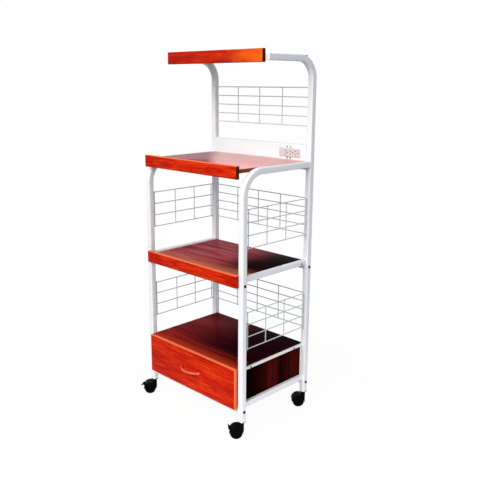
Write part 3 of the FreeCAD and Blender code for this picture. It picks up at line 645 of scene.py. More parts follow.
def lathe(shape: BMesh, profile: Sequence[tuple[float, float]], steps: int, place: Matrix) -> None:
    """Add a ring turned from a closed profile to a bmesh.

    Args:
        shape: The bmesh that gets the ring.
        profile: Radius and distance along the axle of each corner, in millimetres.
        steps: Divisions round the axle.
        place: Turns the ring's own axle, which is Z, into the row frame.
    """
    rings = []
    for step in range(steps):
        turn = 2 * math.pi * step / steps
        rings.append([shape.verts.new(place @ (Vector((r * math.cos(turn), r * math.sin(turn), d)) * MM))
                      for r, d in profile])
    count = len(profile)
    made = []
    for step in range(steps):
        here, there = rings[step], rings[(step + 1) % steps]
        for k in range(count):
            made.append(shape.faces.new((here[k], here[(k + 1) % count], there[(k + 1) % count], there[k])))
    bmesh.ops.recalc_face_normals(shape, faces=made)


# geometry node trees

# Steps round a tube's bend and round its section's corners.
BEND_STEPS, CORNER_STEPS = 24, 6
# Sides of a wire, of a weld bead and of the bow handle's oval, and fineness of a weld nugget.
WIRE_SIDES, BEAD_SIDES, BOW_SIDES, NUGGET_FINE = 12, 7, 24, 2
# Spacing of a weld bead's rings, and its swelling at each ripple in parts of its radius.
BEAD_STEP, BEAD_SWELL = 0.7 * MM, 0.16
# A screw: sides and rings of its head, sides of its shank, how far the dome draws in, and the recess's width.
HEAD_SIDES, HEAD_RINGS, SHANK_SIDES = 32, 6, 16
DOME, RECESS = 0.62, 0.26
# How late along the bow its feet begin to flare.
FLARE_POWER = 6.0


def open_tree(name: str, sizes: Mapping[str, str]) -> tuple[NodeTree, Node]:
    """Start a geometry tree with a mesh, named sizes and a finish as its inputs.

    Args:
        name: The tree's name.
        sizes: Input name to the kind of its socket.

    Returns:
        The tree and its input node.
    """
    tree = bpy.data.node_groups.new(name, "GeometryNodeTree")
    tree.interface.new_socket("Geometry", in_out="INPUT", socket_type="NodeSocketGeometry")
    for size, kind in sizes.items():
        tree.interface.new_socket(size, in_out="INPUT", socket_type="NodeSocket" + kind)
    tree.interface.new_socket("Finish", in_out="INPUT", socket_type="NodeSocketMaterial")
    tree.interface.new_socket("Geometry", in_out="OUTPUT", socket_type="NodeSocketGeometry")
    return tree, add(tree, "NodeGroupInput")


def close_tree(tree: NodeTree, given: Node, shape: Node) -> NodeTree:
    """End a geometry tree in Realize Instances and Set Material.

    Args:
        tree: The tree.
        given: Its input node.
        shape: The node that gives the finished shape.

    Returns:
        The tree.
    """
    real = add(tree, "GeometryNodeRealizeInstances", {"Geometry": shape})
    dressed = add(tree, "GeometryNodeSetMaterial", {"Geometry": real, "Material": given.outputs["Finish"]})
    add(tree, "NodeGroupOutput", {"Geometry": dressed})
    return tree


def bar_tree() -> NodeTree:
    """Rounded tube swept along a line whose corners are bent to a radius.

    Returns:
        The tree.
    """
    tree, given = open_tree("bent_bar", {"Width": "Float", "Height": "Float", "Corner": "Float",
                                         "Bend": "Float", "Across": "Vector"})
    line = add(tree, "GeometryNodeMeshToCurve", {"Mesh": given.outputs["Geometry"]})
    bent = add(tree, "GeometryNodeFilletCurve", {"Curve": line, "Count": BEND_STEPS,
                                                 "Radius": given.outputs["Bend"]}, mode="POLY")
    level = add(tree, "GeometryNodeSetCurveNormal", {"Curve": bent, "Normal": given.outputs["Across"]},
                mode="FREE")
    outline = add(tree, "GeometryNodeCurvePrimitiveQuadrilateral", {"Width": given.outputs["Width"],
                                                                    "Height": given.outputs["Height"]})
    section = add(tree, "GeometryNodeFilletCurve", {"Curve": outline, "Count": CORNER_STEPS,
                                                    "Radius": given.outputs["Corner"]}, mode="POLY")
    swept = add(tree, "GeometryNodeCurveToMesh", {"Curve": level, "Profile Curve": section,
                                                  "Fill Caps": True})
    return close_tree(tree, given, swept)


def wire_tree() -> NodeTree:
    """Round wires along lines, with a weld nugget on each loose point.

    Returns:
        The tree.
    """
    tree, given = open_tree("wire_grid", {"Wire": "Float", "Nugget": "Float"})
    line = add(tree, "GeometryNodeMeshToCurve", {"Mesh": given.outputs["Geometry"]})
    ring = add(tree, "GeometryNodeCurvePrimitiveCircle", {"Resolution": WIRE_SIDES,
                                                          "Radius": given.outputs["Wire"]})
    wires = add(tree, "GeometryNodeCurveToMesh", {"Curve": line, "Profile Curve": ring, "Fill Caps": True})
    crossing = add(tree, "GeometryNodeInputNamedAttribute", {"Name": "crossing"}, data_type="BOOLEAN")
    spots = add(tree, "GeometryNodeMeshToPoints", {"Mesh": given.outputs["Geometry"], "Selection": crossing})
    drop = add(tree, "GeometryNodeMeshIcoSphere", {"Radius": given.outputs["Nugget"],
                                                   "Subdivisions": NUGGET_FINE})
    nuggets = add(tree, "GeometryNodeInstanceOnPoints", {"Points": spots, "Instance": drop})
    both = add(tree, "GeometryNodeJoinGeometry", {"Geometry": wires})
    feed(both, {"Geometry": nuggets})
    return close_tree(tree, given, both)


def weld_tree() -> NodeTree:
    """Painted weld bead along closed lines, thicker and thinner at each ripple.

    Returns:
        The tree.
    """
    tree, given = open_tree("weld_bead", {"Bead": "Float", "Ripple": "Float"})
    line = add(tree, "GeometryNodeMeshToCurve", {"Mesh": given.outputs["Geometry"]})
    fine = add(tree, "GeometryNodeResampleCurve", {"Curve": line, "Length": BEAD_STEP}, mode="LENGTH")
    run = add(tree, "GeometryNodeSplineParameter")
    turns = add(tree, "ShaderNodeMath", {0: run.outputs["Length"], 1: given.outputs["Ripple"]},
                operation="DIVIDE")
    angle = add(tree, "ShaderNodeMath", {0: turns, 1: 2 * math.pi}, operation="MULTIPLY")
    wave = add(tree, "ShaderNodeMath", {0: angle}, operation="SINE")
    swell = add(tree, "ShaderNodeMath", {0: wave, 1: BEAD_SWELL, 2: 1.0}, operation="MULTIPLY_ADD")
    ring = add(tree, "GeometryNodeCurvePrimitiveCircle", {"Resolution": BEAD_SIDES,
                                                          "Radius": given.outputs["Bead"]})
    bead = add(tree, "GeometryNodeCurveToMesh", {"Curve": fine, "Profile Curve": ring, "Scale": swell})
    return close_tree(tree, given, bead)


def screw_tree() -> NodeTree:
    """Pan-head screw with a cross recess on each point, its head along the point's axis.

    Returns:
        The tree.
    """
    tree, given = open_tree("pan_head_screw", {"Head": "Float", "Rise": "Float", "Shank": "Float",
                                               "Length": "Float"})
    head, rise = given.outputs["Head"], given.outputs["Rise"]
    puck = add(tree, "GeometryNodeMeshCylinder", {"Vertices": HEAD_SIDES, "Side Segments": HEAD_RINGS,
                                                  "Radius": head, "Depth": rise})
    spot = add(tree, "ShaderNodeSeparateXYZ", {0: add(tree, "GeometryNodeInputPosition")})
    level = add(tree, "ShaderNodeMath", {0: spot.outputs["Z"], 1: rise}, operation="DIVIDE")
    upper = add(tree, "ShaderNodeMath", {0: level, 1: 0.5}, operation="ADD")
    curve = add(tree, "ShaderNodeMath", {0: upper, 1: 2.0}, operation="POWER")
    shrink = add(tree, "ShaderNodeMath", {0: curve, 1: -DOME, 2: 1.0}, operation="MULTIPLY_ADD")
    narrow = add(tree, "ShaderNodeMath", {0: shrink}, operation="SQRT")
    sides = [add(tree, "ShaderNodeMath", {0: spot.outputs[axis], 1: narrow}, operation="MULTIPLY")
             for axis in "XY"]
    domed_spot = add(tree, "ShaderNodeCombineXYZ", {"X": sides[0], "Y": sides[1], "Z": spot.outputs["Z"]})
    dome = add(tree, "GeometryNodeSetPosition", {"Geometry": puck, "Position": domed_spot})
    slot = add(tree, "ShaderNodeMath", {0: head, 1: RECESS}, operation="MULTIPLY")
    lift = add(tree, "ShaderNodeMath", {0: rise, 1: 0.5}, operation="MULTIPLY")
    up = add(tree, "ShaderNodeCombineXYZ", {"Z": lift})
    cut = dome
    for wide, deep in ((head, slot), (slot, head)):
        size = add(tree, "ShaderNodeCombineXYZ", {"X": wide, "Y": deep, "Z": rise})
        cutter = add(tree, "GeometryNodeMeshCube", {"Size": size})
        raised = add(tree, "GeometryNodeTransform", {"Geometry": cutter, "Translation": up})
        cut = add(tree, "GeometryNodeMeshBoolean", {"Mesh 1": cut, "Mesh 2": raised}, operation="DIFFERENCE",
                  solver="EXACT")
    seated = add(tree, "GeometryNodeTransform", {"Geometry": cut, "Translation": up})
    shank = add(tree, "GeometryNodeMeshCylinder", {"Vertices": SHANK_SIDES, "Radius": given.outputs["Shank"],
                                                   "Depth": given.outputs["Length"]})
    sink = add(tree, "ShaderNodeMath", {0: given.outputs["Length"], 1: -0.5}, operation="MULTIPLY")
    down = add(tree, "ShaderNodeCombineXYZ", {"Z": sink})
    sunk = add(tree, "GeometryNodeTransform", {"Geometry": shank, "Translation": down})
    screw = add(tree, "GeometryNodeJoinGeometry", {"Geometry": seated})
    feed(screw, {"Geometry": sunk})
    axis = add(tree, "GeometryNodeInputNamedAttribute", {"Name": "axis"}, data_type="FLOAT_VECTOR")
    aim = add(tree, "FunctionNodeAlignRotationToVector", {"Vector": axis}, axis="Z")
    spots = add(tree, "GeometryNodeMeshToPoints", {"Mesh": given.outputs["Geometry"]})
    placed = add(tree, "GeometryNodeInstanceOnPoints", {"Points": spots, "Instance": screw, "Rotation": aim})
    return close_tree(tree, given, placed)


def bow_tree() -> NodeTree:
    """Bow handle: an oval swept along an arc, fuller at its two feet.

    Returns:
        The tree.
    """
    tree, given = open_tree("bow_handle", {"Thick": "Float", "Height": "Float", "Flare": "Float"})
    line = add(tree, "GeometryNodeMeshToCurve", {"Mesh": given.outputs["Geometry"]})
    level = add(tree, "GeometryNodeSetCurveNormal", {"Curve": line, "Normal": (0.0, 0.0, 1.0)}, mode="FREE")
    run = add(tree, "GeometryNodeSplineParameter")
    centred = add(tree, "ShaderNodeMath", {0: run.outputs["Factor"], 1: 2.0, 2: -1.0},
                  operation="MULTIPLY_ADD")
    spread = add(tree, "ShaderNodeMath", {0: centred, 1: FLARE_POWER}, operation="POWER")
    flare = add(tree, "ShaderNodeMath", {0: spread, 1: given.outputs["Flare"], 2: 1.0},
                operation="MULTIPLY_ADD")
    ring = add(tree, "GeometryNodeCurvePrimitiveCircle", {"Resolution": BOW_SIDES, "Radius": 0.5})
    oval = add(tree, "ShaderNodeCombineXYZ", {"X": given.outputs["Height"], "Y": given.outputs["Thick"],
                                              "Z": 1.0})
    section = add(tree, "GeometryNodeTransform", {"Geometry": ring, "Scale": oval})
    swept = add(tree, "GeometryNodeCurveToMesh", {"Curve": level, "Profile Curve": section, "Scale": flare,
                                                  "Fill Caps": True})
    return close_tree(tree, given, swept)


def grown(name: str, tree: NodeTree, points: Sequence[Vector], edges: Sequence[tuple[int, int]],
          sizes: Mapping[str, Any], finish: Finish,
          marks: Mapping[str, tuple[str, Sequence[Any]]] | None = None) -> Object:
    """Run a geometry tree on points and lines, and keep the result as a plain mesh.

    Args:
        name: The piece's name.
        tree: The geometry tree.
        points: Points in the row frame.
        edges: Lines between them.
        sizes: Value of each named input, in metres.
        finish: The piece's finish.
        marks: Attribute name to its type and its value on each point.

    Returns:
        The finished piece.
    """
    start = bpy.data.meshes.new(name + "_lines")
    start.from_pydata([tuple(p) for p in points], list(edges), [])
    for mark, (kind, values) in (marks or {}).items():
        layer = start.attributes.new(mark, kind, "POINT")
        for item, value in zip(layer.data, values):
            if kind == "FLOAT_VECTOR":
                item.vector = value
            else:
                item.value = value
    grower = bpy.data.objects.new(name + "_grower", start)
    bpy.context.scene.collection.objects.link(grower)
    modifier = grower.modifiers.new("grow", "NODES")
    modifier.node_group = tree
    given = dict(sizes, Finish=finish.material())
    for item in tree.interface.items_tree:
        if item.in_out == "INPUT" and item.name in given:
            modifier[item.identifier] = given[item.name]
    bpy.context.view_layer.update()
    depsgraph = bpy.context.evaluated_depsgraph_get()
    mesh = bpy.data.meshes.new_from_object(grower.evaluated_get(depsgraph), depsgraph=depsgraph)
    mesh.name = name
    bpy.data.objects.remove(grower)
    return link(name, mesh)


# sub-assemblies


@dataclass
class TubeFrame:
    """White steel frame: bent legs and posts, rails, strips and crossbars, with their welds and tabs."""

    leg_x: float = LEG_X
    leg_y: float = LEG_Y
    post_y: float = POST_Y
    tube: float = TUBE
    corner: float = 4.0
    leg_bend: float = 92.5
    arm_bend: float = 80.0
    foot: float = 68.0
    rail_top: float = RAIL_TOP
    rail_end: float = POST_FRONT
    arm_top: float = ARM_TOP
    arm_end: float = 150.0
    rail_corner: float = 3.0
    strip_corner: float = 0.8
    bead: float = 1.1
    ripple: float = 2.3
    tab_long: float = 24.0
    tab_reach: float = 20.0
    tab_thick: float = TAB_THICK
    tab_ease: float = 0.5
    tab_bite: float = 0.5
    board_thick: float = BOARD_THICK
    worktop_tabs: tuple[float, ...] = WORKTOP_TABS
    top_tabs: tuple[float, ...] = TOP_TABS

    def bent(self, side: int, y: float, top: float, reach: float) -> list[Vector]:
        """Corner points of a bent tube's centre line.

        Args:
            side: 1 for the right side, -1 for the left.
            y: Depth of its upright.
            top: Height of its level run's top.
            reach: Depth where its level run ends.

        Returns:
            Foot, corner and end.
        """
        x, high = side * self.leg_x, top - self.tube / 2
        return [at(x, y, self.foot), at(x, y, high), at(x, reach, high)]

    def rails(self) -> tuple[tuple[str, float], ...]:
        """Name and corner radius of each level bar of a side frame."""
        return (("middle_rail", self.rail_corner), ("cabinet_strip", self.strip_corner),
                ("bottom_rail", self.rail_corner))

    def build(self) -> None:
        """Sweep the tubes and bars, and lay the welds and tabs."""
        tree = bar_tree()
        square = {"Width": self.tube * MM, "Height": self.tube * MM, "Corner": self.corner * MM,
                  "Across": (1.0, 0.0, 0.0)}
        tubes = (("front_leg", self.leg_bend, self.leg_y, self.rail_top, self.rail_end),
                 ("rear_post", self.arm_bend, self.post_y, self.arm_top, self.arm_end))
        for hand, side in HANDS:
            for part, bend, y, top, reach in tubes:
                node = f"{hand}_{part}"
                piece = grown("tube_" + node, tree, self.bent(side, y, top, reach), [(0, 1), (1, 2)],
                              dict(square, Bend=bend * MM), POWDER_COAT)
                settle(piece, "frame", Slot.STEEL, node)
            for part, corner in self.rails():
                self.bar(tree, f"{hand}_{part}", 1, corner)
        for level in ("middle", "bottom"):
            for place in ("front", "rear"):
                self.bar(tree, f"{level}_{place}_crossbar", 0, self.rail_corner)
        self.welds()
        self.tabs()

    def bar(self, tree: NodeTree, node: str, axis: int, corner: float) -> None:
        """Sweep a straight bar through the middle of a node's box.

        Args:
            tree: The bar tree.
            node: CAD node that it stands for.
            axis: 0 where it runs along X, 1 along Y.
            corner: Corner radius in millimetres.
        """
        low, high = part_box(node)
        middle, size = (low + high) / 2, high - low
        ends = [middle.copy(), middle.copy()]
        ends[0][axis], ends[1][axis] = low[axis], high[axis]
        across = (0.0, 1.0, 0.0) if axis == 0 else (1.0, 0.0, 0.0)
        sizes = {"Width": size[1 - axis], "Height": size.z, "Corner": corner * MM, "Bend": 0.0,
                 "Across": across}
        settle(grown("bar_" + node, tree, ends, [(0, 1)], sizes, POWDER_COAT), "frame", Slot.STEEL, node)

    def welds(self) -> None:
        """Lay a painted weld bead round each joint of a rail with a leg or post."""
        points: list[Vector] = []
        edges: list[tuple[int, int]] = []
        rings: list[tuple[Vector, float, float, float]] = []
        for hand, side in HANDS:
            for part, corner in self.rails():
                low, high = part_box(f"{hand}_{part}")
                for y in (low.y, high.y):
                    rings.append((Vector(((low.x + high.x) / 2, y, (low.z + high.z) / 2)), high.x - low.x,
                                  high.z - low.z, corner * MM))
            rings.append((at(side * self.leg_x, self.rail_end, self.rail_top - self.tube / 2), self.tube * MM,
                          self.tube * MM, self.corner * MM))
        for centre, width, height, corner in rings:
            first = len(points)
            for quarter, (sx, sz) in enumerate(((1, 1), (-1, 1), (-1, -1), (1, -1))):
                for turn in quarter_turn(quarter):
                    points.append(centre + Vector((sx * (width / 2 - corner) + corner * math.cos(turn), 0.0,
                                                   sz * (height / 2 - corner) + corner * math.sin(turn))))
            count = len(points) - first
            edges += [(first + k, first + (k + 1) % count) for k in range(count)]
        sizes = {"Bead": self.bead * MM, "Ripple": self.ripple * MM}
        settle(grown("weld_beads", weld_tree(), points, edges, sizes, POWDER_COAT), "frame", Slot.STEEL)

    def tabs(self) -> None:
        """Add the steel tabs under the worktop and the top board."""
        shape = bmesh.new()
        inner = self.leg_x - self.tube / 2
        for places, top in ((self.worktop_tabs, self.rail_top), (self.top_tabs, self.arm_top)):
            under = top - self.board_thick
            for y in places:
                for side in (1, -1):
                    ends = sorted((side * (inner - self.tab_reach), side * (inner + self.tab_bite)))
                    block(shape, at(ends[0], y - self.tab_long / 2, under - self.tab_thick),
                          at(ends[1], y + self.tab_long / 2, under), 0.0, self.tab_ease)
        settle(from_bmesh("board_tabs", shape, POWDER_COAT), "frame", Slot.STEEL)


@dataclass
class Shelves:
    """Boards and their front trims."""

    front_round: float = 3.0
    ease: float = 0.6

    def build(self) -> None:
        """Make the boards with brown edges, and the trims with rounded edges that carry a painted highlight
        on top and painted shade below.
        """
        boards = {"worktop_board": CHERRY_WORKTOP, "middle_shelf_board": CHERRY_SHELF,
                  "lower_shelf_board": CHERRY_LOWER, "top_shelf_board": CHERRY_UPPER}
        for node, finish in boards.items():
            board("sheet_" + node, node, finish, "frame", Slot.BOARD, self.ease, banded_and_highlit=ROUND_THE_EDGE)
        # Trim faces in the dark end colour: the ends, and painted shade on the bottom.
        dark = (Side.LEFT, Side.RIGHT, Side.BOTTOM)
        trims = {"worktop_trim": (CHERRY_FRONT, (Side.TOP,), dark), "top_shelf_trim": (CHERRY_TOP, (), dark),
                 "middle_shelf_trim": (CHERRY_FRONT, (Side.TOP,), (Side.LEFT, Side.BOTTOM))}
        for node, (finish, banded_and_highlit, sawn_and_shaded) in trims.items():
            board("rounded_" + node, node, finish, "frame", Slot.FRONT, self.ease, self.front_round, banded_and_highlit,
                  sawn_and_shaded)


@dataclass
class DrawerCabinet:
    """Cabinet under the lower shelf, and the drawer in it with its bow handle."""

    front_round: float = 3.0
    ease: float = 0.6
    handle_half: float = 53.5
    handle_z: float = HANDLE_Z
    handle_rise: float = 28.0
    handle_thick: float = 7.0
    handle_height: float = 10.0
    handle_flare: float = 0.25
    handle_sink: float = 3.0
    handle_steps: int = 40

    def build(self) -> None:
        """Make the cabinet's boards and runners, the drawer box, its front and its handle."""
        for node in ("cabinet_left_side", "cabinet_right_side"):
            board("sheet_" + node, node, CHERRY_SIDE, "frame", Slot.BOARD, self.ease,
                  banded_and_highlit=(Side.FRONT, Side.BACK))
        for node in ("cabinet_floor", "cabinet_back"):
            board("sheet_" + node, node, PAPER_BOARD, "frame", Slot.PLAIN, self.ease, banded_and_highlit=ROUND_THE_EDGE)
        for node in ("left_runner", "right_runner"):
            board("cleat_" + node, node, MILKY_PP, "frame", Slot.PLASTIC, self.ease)
        for node in ("drawer_left_side", "drawer_right_side", "drawer_back", "drawer_floor"):
            settle(eased_node(node, "box_" + node, PAPER_BOARD, self.ease / 2), "drawer", Slot.PLAIN, node)
        # The drawer front's top and right edges get a painted highlight, and its bottom gets painted shade.
        board("rounded_drawer_front", "drawer_front", CHERRY_FRONT, "drawer", Slot.FRONT, self.ease,
              self.front_round, banded_and_highlit=(Side.TOP, Side.RIGHT), sawn_and_shaded=(Side.LEFT, Side.BOTTOM))
        self.handle()

    def handle(self) -> None:
        """Sweep the bow handle along its arc, with its feet let into the drawer front."""
        half = self.handle_half
        rise = self.handle_rise - self.handle_thick / 2
        radius = (half * half + rise * rise) / (2 * rise)
        reach = math.asin(half / radius) + self.handle_sink / radius
        points = []
        for step in range(self.handle_steps + 1):
            turn = reach * (2 * step / self.handle_steps - 1)
            points.append(at(radius * math.sin(turn), radius - rise - radius * math.cos(turn), self.handle_z))
        edges = [(k, k + 1) for k in range(self.handle_steps)]
        sizes = {"Thick": self.handle_thick * MM, "Height": self.handle_height * MM,
                 "Flare": self.handle_flare}
        piece = grown("bow_handle", bow_tree(), points, edges, sizes, CHERRY_HANDLE)
        settle(piece, "drawer", Slot.FRONT, "drawer_handle")


@dataclass
class WireGrids:
    """Wire grids at the back between the posts and at the sides between legs and posts."""

    wire: float = 4.0
    bite: float = 0.6
    nugget: float = 2.3
    inner_x: float = LEG_X - TUBE / 2
    side_x: float = LEG_X
    back_y: float = POST_Y
    leg_back: float = LEG_Y + TUBE / 2
    post_front: float = POST_FRONT
    back_pitch: float = 37.8
    back_rows: int = 5
    back_uprights: tuple[float, ...] = (-127.6, 0.0, 127.6)
    side_pitch: float = 50.2
    side_rows: int = 4
    side_columns: int = 4
    side_inset: float = 13.0
    back_tops: tuple[tuple[str, float], ...] = (("upper", 1367.5), ("middle", 925.0), ("lower", 516.5))
    side_tops: tuple[tuple[str, float], ...] = (("middle", 926.0), ("lower", 520.0))

    def build(self) -> None:
        """Grow every grid from its lines and crossings."""
        tree = wire_tree()
        for level, top in self.back_tops:
            self.grow(tree, f"{level}_back_grid", *self.back(top))
        for level, top in self.side_tops:
            for hand, side in HANDS:
                self.grow(tree, f"{hand}_{level}_side_grid", *self.side(top, side))

    def back(self, top: float) -> tuple[list[Line], list[Vector]]:
        """Lines and crossings of a back grid.

        Args:
            top: Height of its top wire.

        Returns:
            Wires as pairs of ends, and the crossings.
        """
        rows = [top - row * self.back_pitch for row in range(self.back_rows)]
        step = self.wire - self.bite
        lines = [(at(-self.inner_x, self.back_y, z), at(self.inner_x, self.back_y, z)) for z in rows]
        half = self.wire / 2
        lines += [(at(x, self.back_y - step, rows[-1] - half), at(x, self.back_y - step, top + half))
                  for x in self.back_uprights]
        return lines, [at(x, self.back_y - step / 2, z) for x in self.back_uprights for z in rows]

    def side(self, top: float, side: int) -> tuple[list[Line], list[Vector]]:
        """Lines and crossings of a side grid.

        Args:
            top: Height of its top wire.
            side: 1 for the right side, -1 for the left.

        Returns:
            Wires as pairs of ends, and the crossings.
        """
        rows = [top - row * self.side_pitch for row in range(self.side_rows)]
        first, last = self.leg_back + self.side_inset, self.post_front - self.side_inset
        columns = [first + k * (last - first) / (self.side_columns - 1) for k in range(self.side_columns)]
        step, half = self.wire - self.bite, self.wire / 2
        x = side * self.side_x
        lines: list[Line] = []
        for row, z in enumerate(rows):
            outer = row in (0, self.side_rows - 1)
            start, stop = (self.leg_back, self.post_front) if outer else (first - half, last + half)
            lines.append((at(x, start, z), at(x, stop, z)))
        steps = {y: side * step * (1 if y in (first, last) else -1) for y in columns}
        lines += [(at(x + aside, y, rows[-1] - half), at(x + aside, y, top + half))
                  for y, aside in steps.items()]
        return lines, [at(x + aside / 2, y, z) for y, aside in steps.items() for z in rows]

    def grow(self, tree: NodeTree, node: str, lines: Sequence[Line],
             spots: Sequence[Vector]) -> None:
        """Turn lines and crossings into wires and weld nuggets.

        Args:
            tree: The wire tree.
            node: CAD node that the grid stands for.
            lines: Wires as pairs of ends.
            spots: Crossings.
        """
        points = [end for line in lines for end in line] + list(spots)
        edges = [(2 * k, 2 * k + 1) for k in range(len(lines))]
        marks = {"crossing": ("BOOLEAN", [k >= 2 * len(lines) for k in range(len(points))])}
        sizes = {"Wire": self.wire / 2 * MM, "Nugget": self.nugget * MM}
        piece = grown("wires_" + node, tree, points, edges, sizes, COATED_WIRE, marks)
        settle(piece, "frame", Slot.STEEL, node)


@dataclass
class PowerPanel:
    """Folded steel panel above the worktop, the outlet strip through it, and the caps of the top arms."""

    fold: float = 0.6
    lip: float = 0.5
    slot_rim: float = 5.0
    slot_lip: float = 0.6
    cap_ease: float = 0.4

    def build(self) -> None:
        """Ease the panel's folds and the edges of the strip and the arms' caps."""
        panel = eased_node("power_panel", "folded_panel", PANEL_ENAMEL, self.fold)
        settle(panel, "frame", Slot.STEEL, "power_panel")
        strip = eased_node("outlet_strip", "moulded_outlet_strip", OUTLET_ABS, self.lip)
        # The faces inside the slots get a second material: painted shade for the hollows.
        strip.data.materials.append(SLOT_SHADE.material())
        low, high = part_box("outlet_strip")
        rim, deep = self.slot_rim * MM, low.y + self.slot_lip * MM
        for face in strip.data.polygons:
            spot = face.center
            inside = low.x + rim < spot.x < high.x - rim and low.z + rim < spot.z < high.z - rim
            if inside and deep < spot.y < high.y - rim / 2:
                face.material_index = 1
        settle(strip, "frame", Slot.PLASTIC, "outlet_strip")
        caps = eased_node("arm_end_caps", "moulded_arm_caps", MILKY_PP, self.cap_ease)
        settle(caps, "frame", Slot.PLASTIC, "arm_end_caps")


@dataclass(frozen=True)
class Screw:
    """Sizes of one kind of screw in millimetres: head and shank are radii."""

    head: float
    rise: float
    shank: float
    length: float

    def sizes(self) -> dict[str, float]:
        """The screw tree's inputs in metres."""
        return {"Head": self.head * MM, "Rise": self.rise * MM, "Shank": self.shank * MM,
                "Length": self.length * MM}


@dataclass
class Fasteners:
    """Bolts and screws, each group on the points where its heads sit."""

    frame_bolt: Screw = Screw(head=6.0, rise=4.0, shank=3.0, length=45.0)
    rail_screw: Screw = Screw(head=3.8, rise=2.4, shank=2.0, length=33.0)
    tab_screw: Screw = Screw(head=3.8, rise=2.4, shank=2.0, length=14.0)
    outlet_screw: Screw = Screw(head=3.0, rise=2.0, shank=1.5, length=8.0)
    handle_screw: Screw = Screw(head=3.8, rise=2.4, shank=2.0, length=21.0)
    outer_x: float = LEG_X + TUBE / 2
    leg_y: float = LEG_Y
    post_y: float = POST_Y
    bolt_z: tuple[float, ...] = (635.0, 112.0)
    rail_x: float = 284.2
    strip_x: float = 274.2
    rail_y: tuple[float, ...] = (373.0,)
    strip_y: tuple[float, ...] = (83.0, 349.0)
    rail_z: float = 653.5
    strip_z: float = 283.9
    tab_x: float = 256.2
    worktop_tabs: tuple[float, ...] = WORKTOP_TABS
    top_tabs: tuple[float, ...] = TOP_TABS
    worktop_seat: float = RAIL_TOP - BOARD_THICK - TAB_THICK
    top_seat: float = ARM_TOP - BOARD_THICK - TAB_THICK
    panel_front: float = POST_FRONT
    outlet_x: tuple[float, ...] = (167.0, 185.0)
    outlet_z: tuple[float, ...] = (1083.5, 1128.5)
    handle_x: float = 52.0
    handle_y: float = 15.0
    handle_z: float = HANDLE_Z

    def build(self) -> None:
        """Grow each group of fasteners."""
        tree = screw_tree()
        outwards = {side: Vector((side, 0, 0)) for _, side in HANDS}
        down, ahead, back = Vector((0, 0, -1)), Vector((0, -1, 0)), Vector((0, 1, 0))
        bolts = [(at(s * self.outer_x, y, z), out) for s, out in outwards.items()
                 for y in (self.leg_y, self.post_y) for z in self.bolt_z]
        rails = [(at(s * x, y, z), out)
                 for x, depths, z in ((self.rail_x, self.rail_y, self.rail_z),
                                      (self.strip_x, self.strip_y, self.strip_z))
                 for s, out in outwards.items() for y in depths]
        tabs = [(at(s * self.tab_x, y, z), down)
                for depths, z in ((self.worktop_tabs, self.worktop_seat), (self.top_tabs, self.top_seat))
                for s in outwards for y in depths]
        outlets = [(at(x, self.panel_front, z), ahead) for x in self.outlet_x for z in self.outlet_z]
        handles = [(at(s * self.handle_x, self.handle_y, self.handle_z), back) for s in outwards]
        groups = (("frame_bolts", "frame", bolts, self.frame_bolt, BLACKENED_STEEL, Slot.BLACK),
                  ("rail_screws", "frame", rails, self.rail_screw, BLACKENED_STEEL, Slot.BLACK),
                  ("tab_screws", "frame", tabs, self.tab_screw, ZINC_PLATE, Slot.ZINC),
                  ("outlet_screws", "frame", outlets, self.outlet_screw, BLACKENED_STEEL, Slot.BLACK),
                  ("handle_screws", "drawer", handles, self.handle_screw, ZINC_PLATE, Slot.ZINC))
        for node, body, spots, screw, finish, slot in groups:
            points, axes = zip(*spots)
            marks = {"axis": ("FLOAT_VECTOR", axes)}
            piece = grown("heads_" + node, tree, points, [], screw.sizes(), finish, marks)
            settle(piece, body, slot, node)


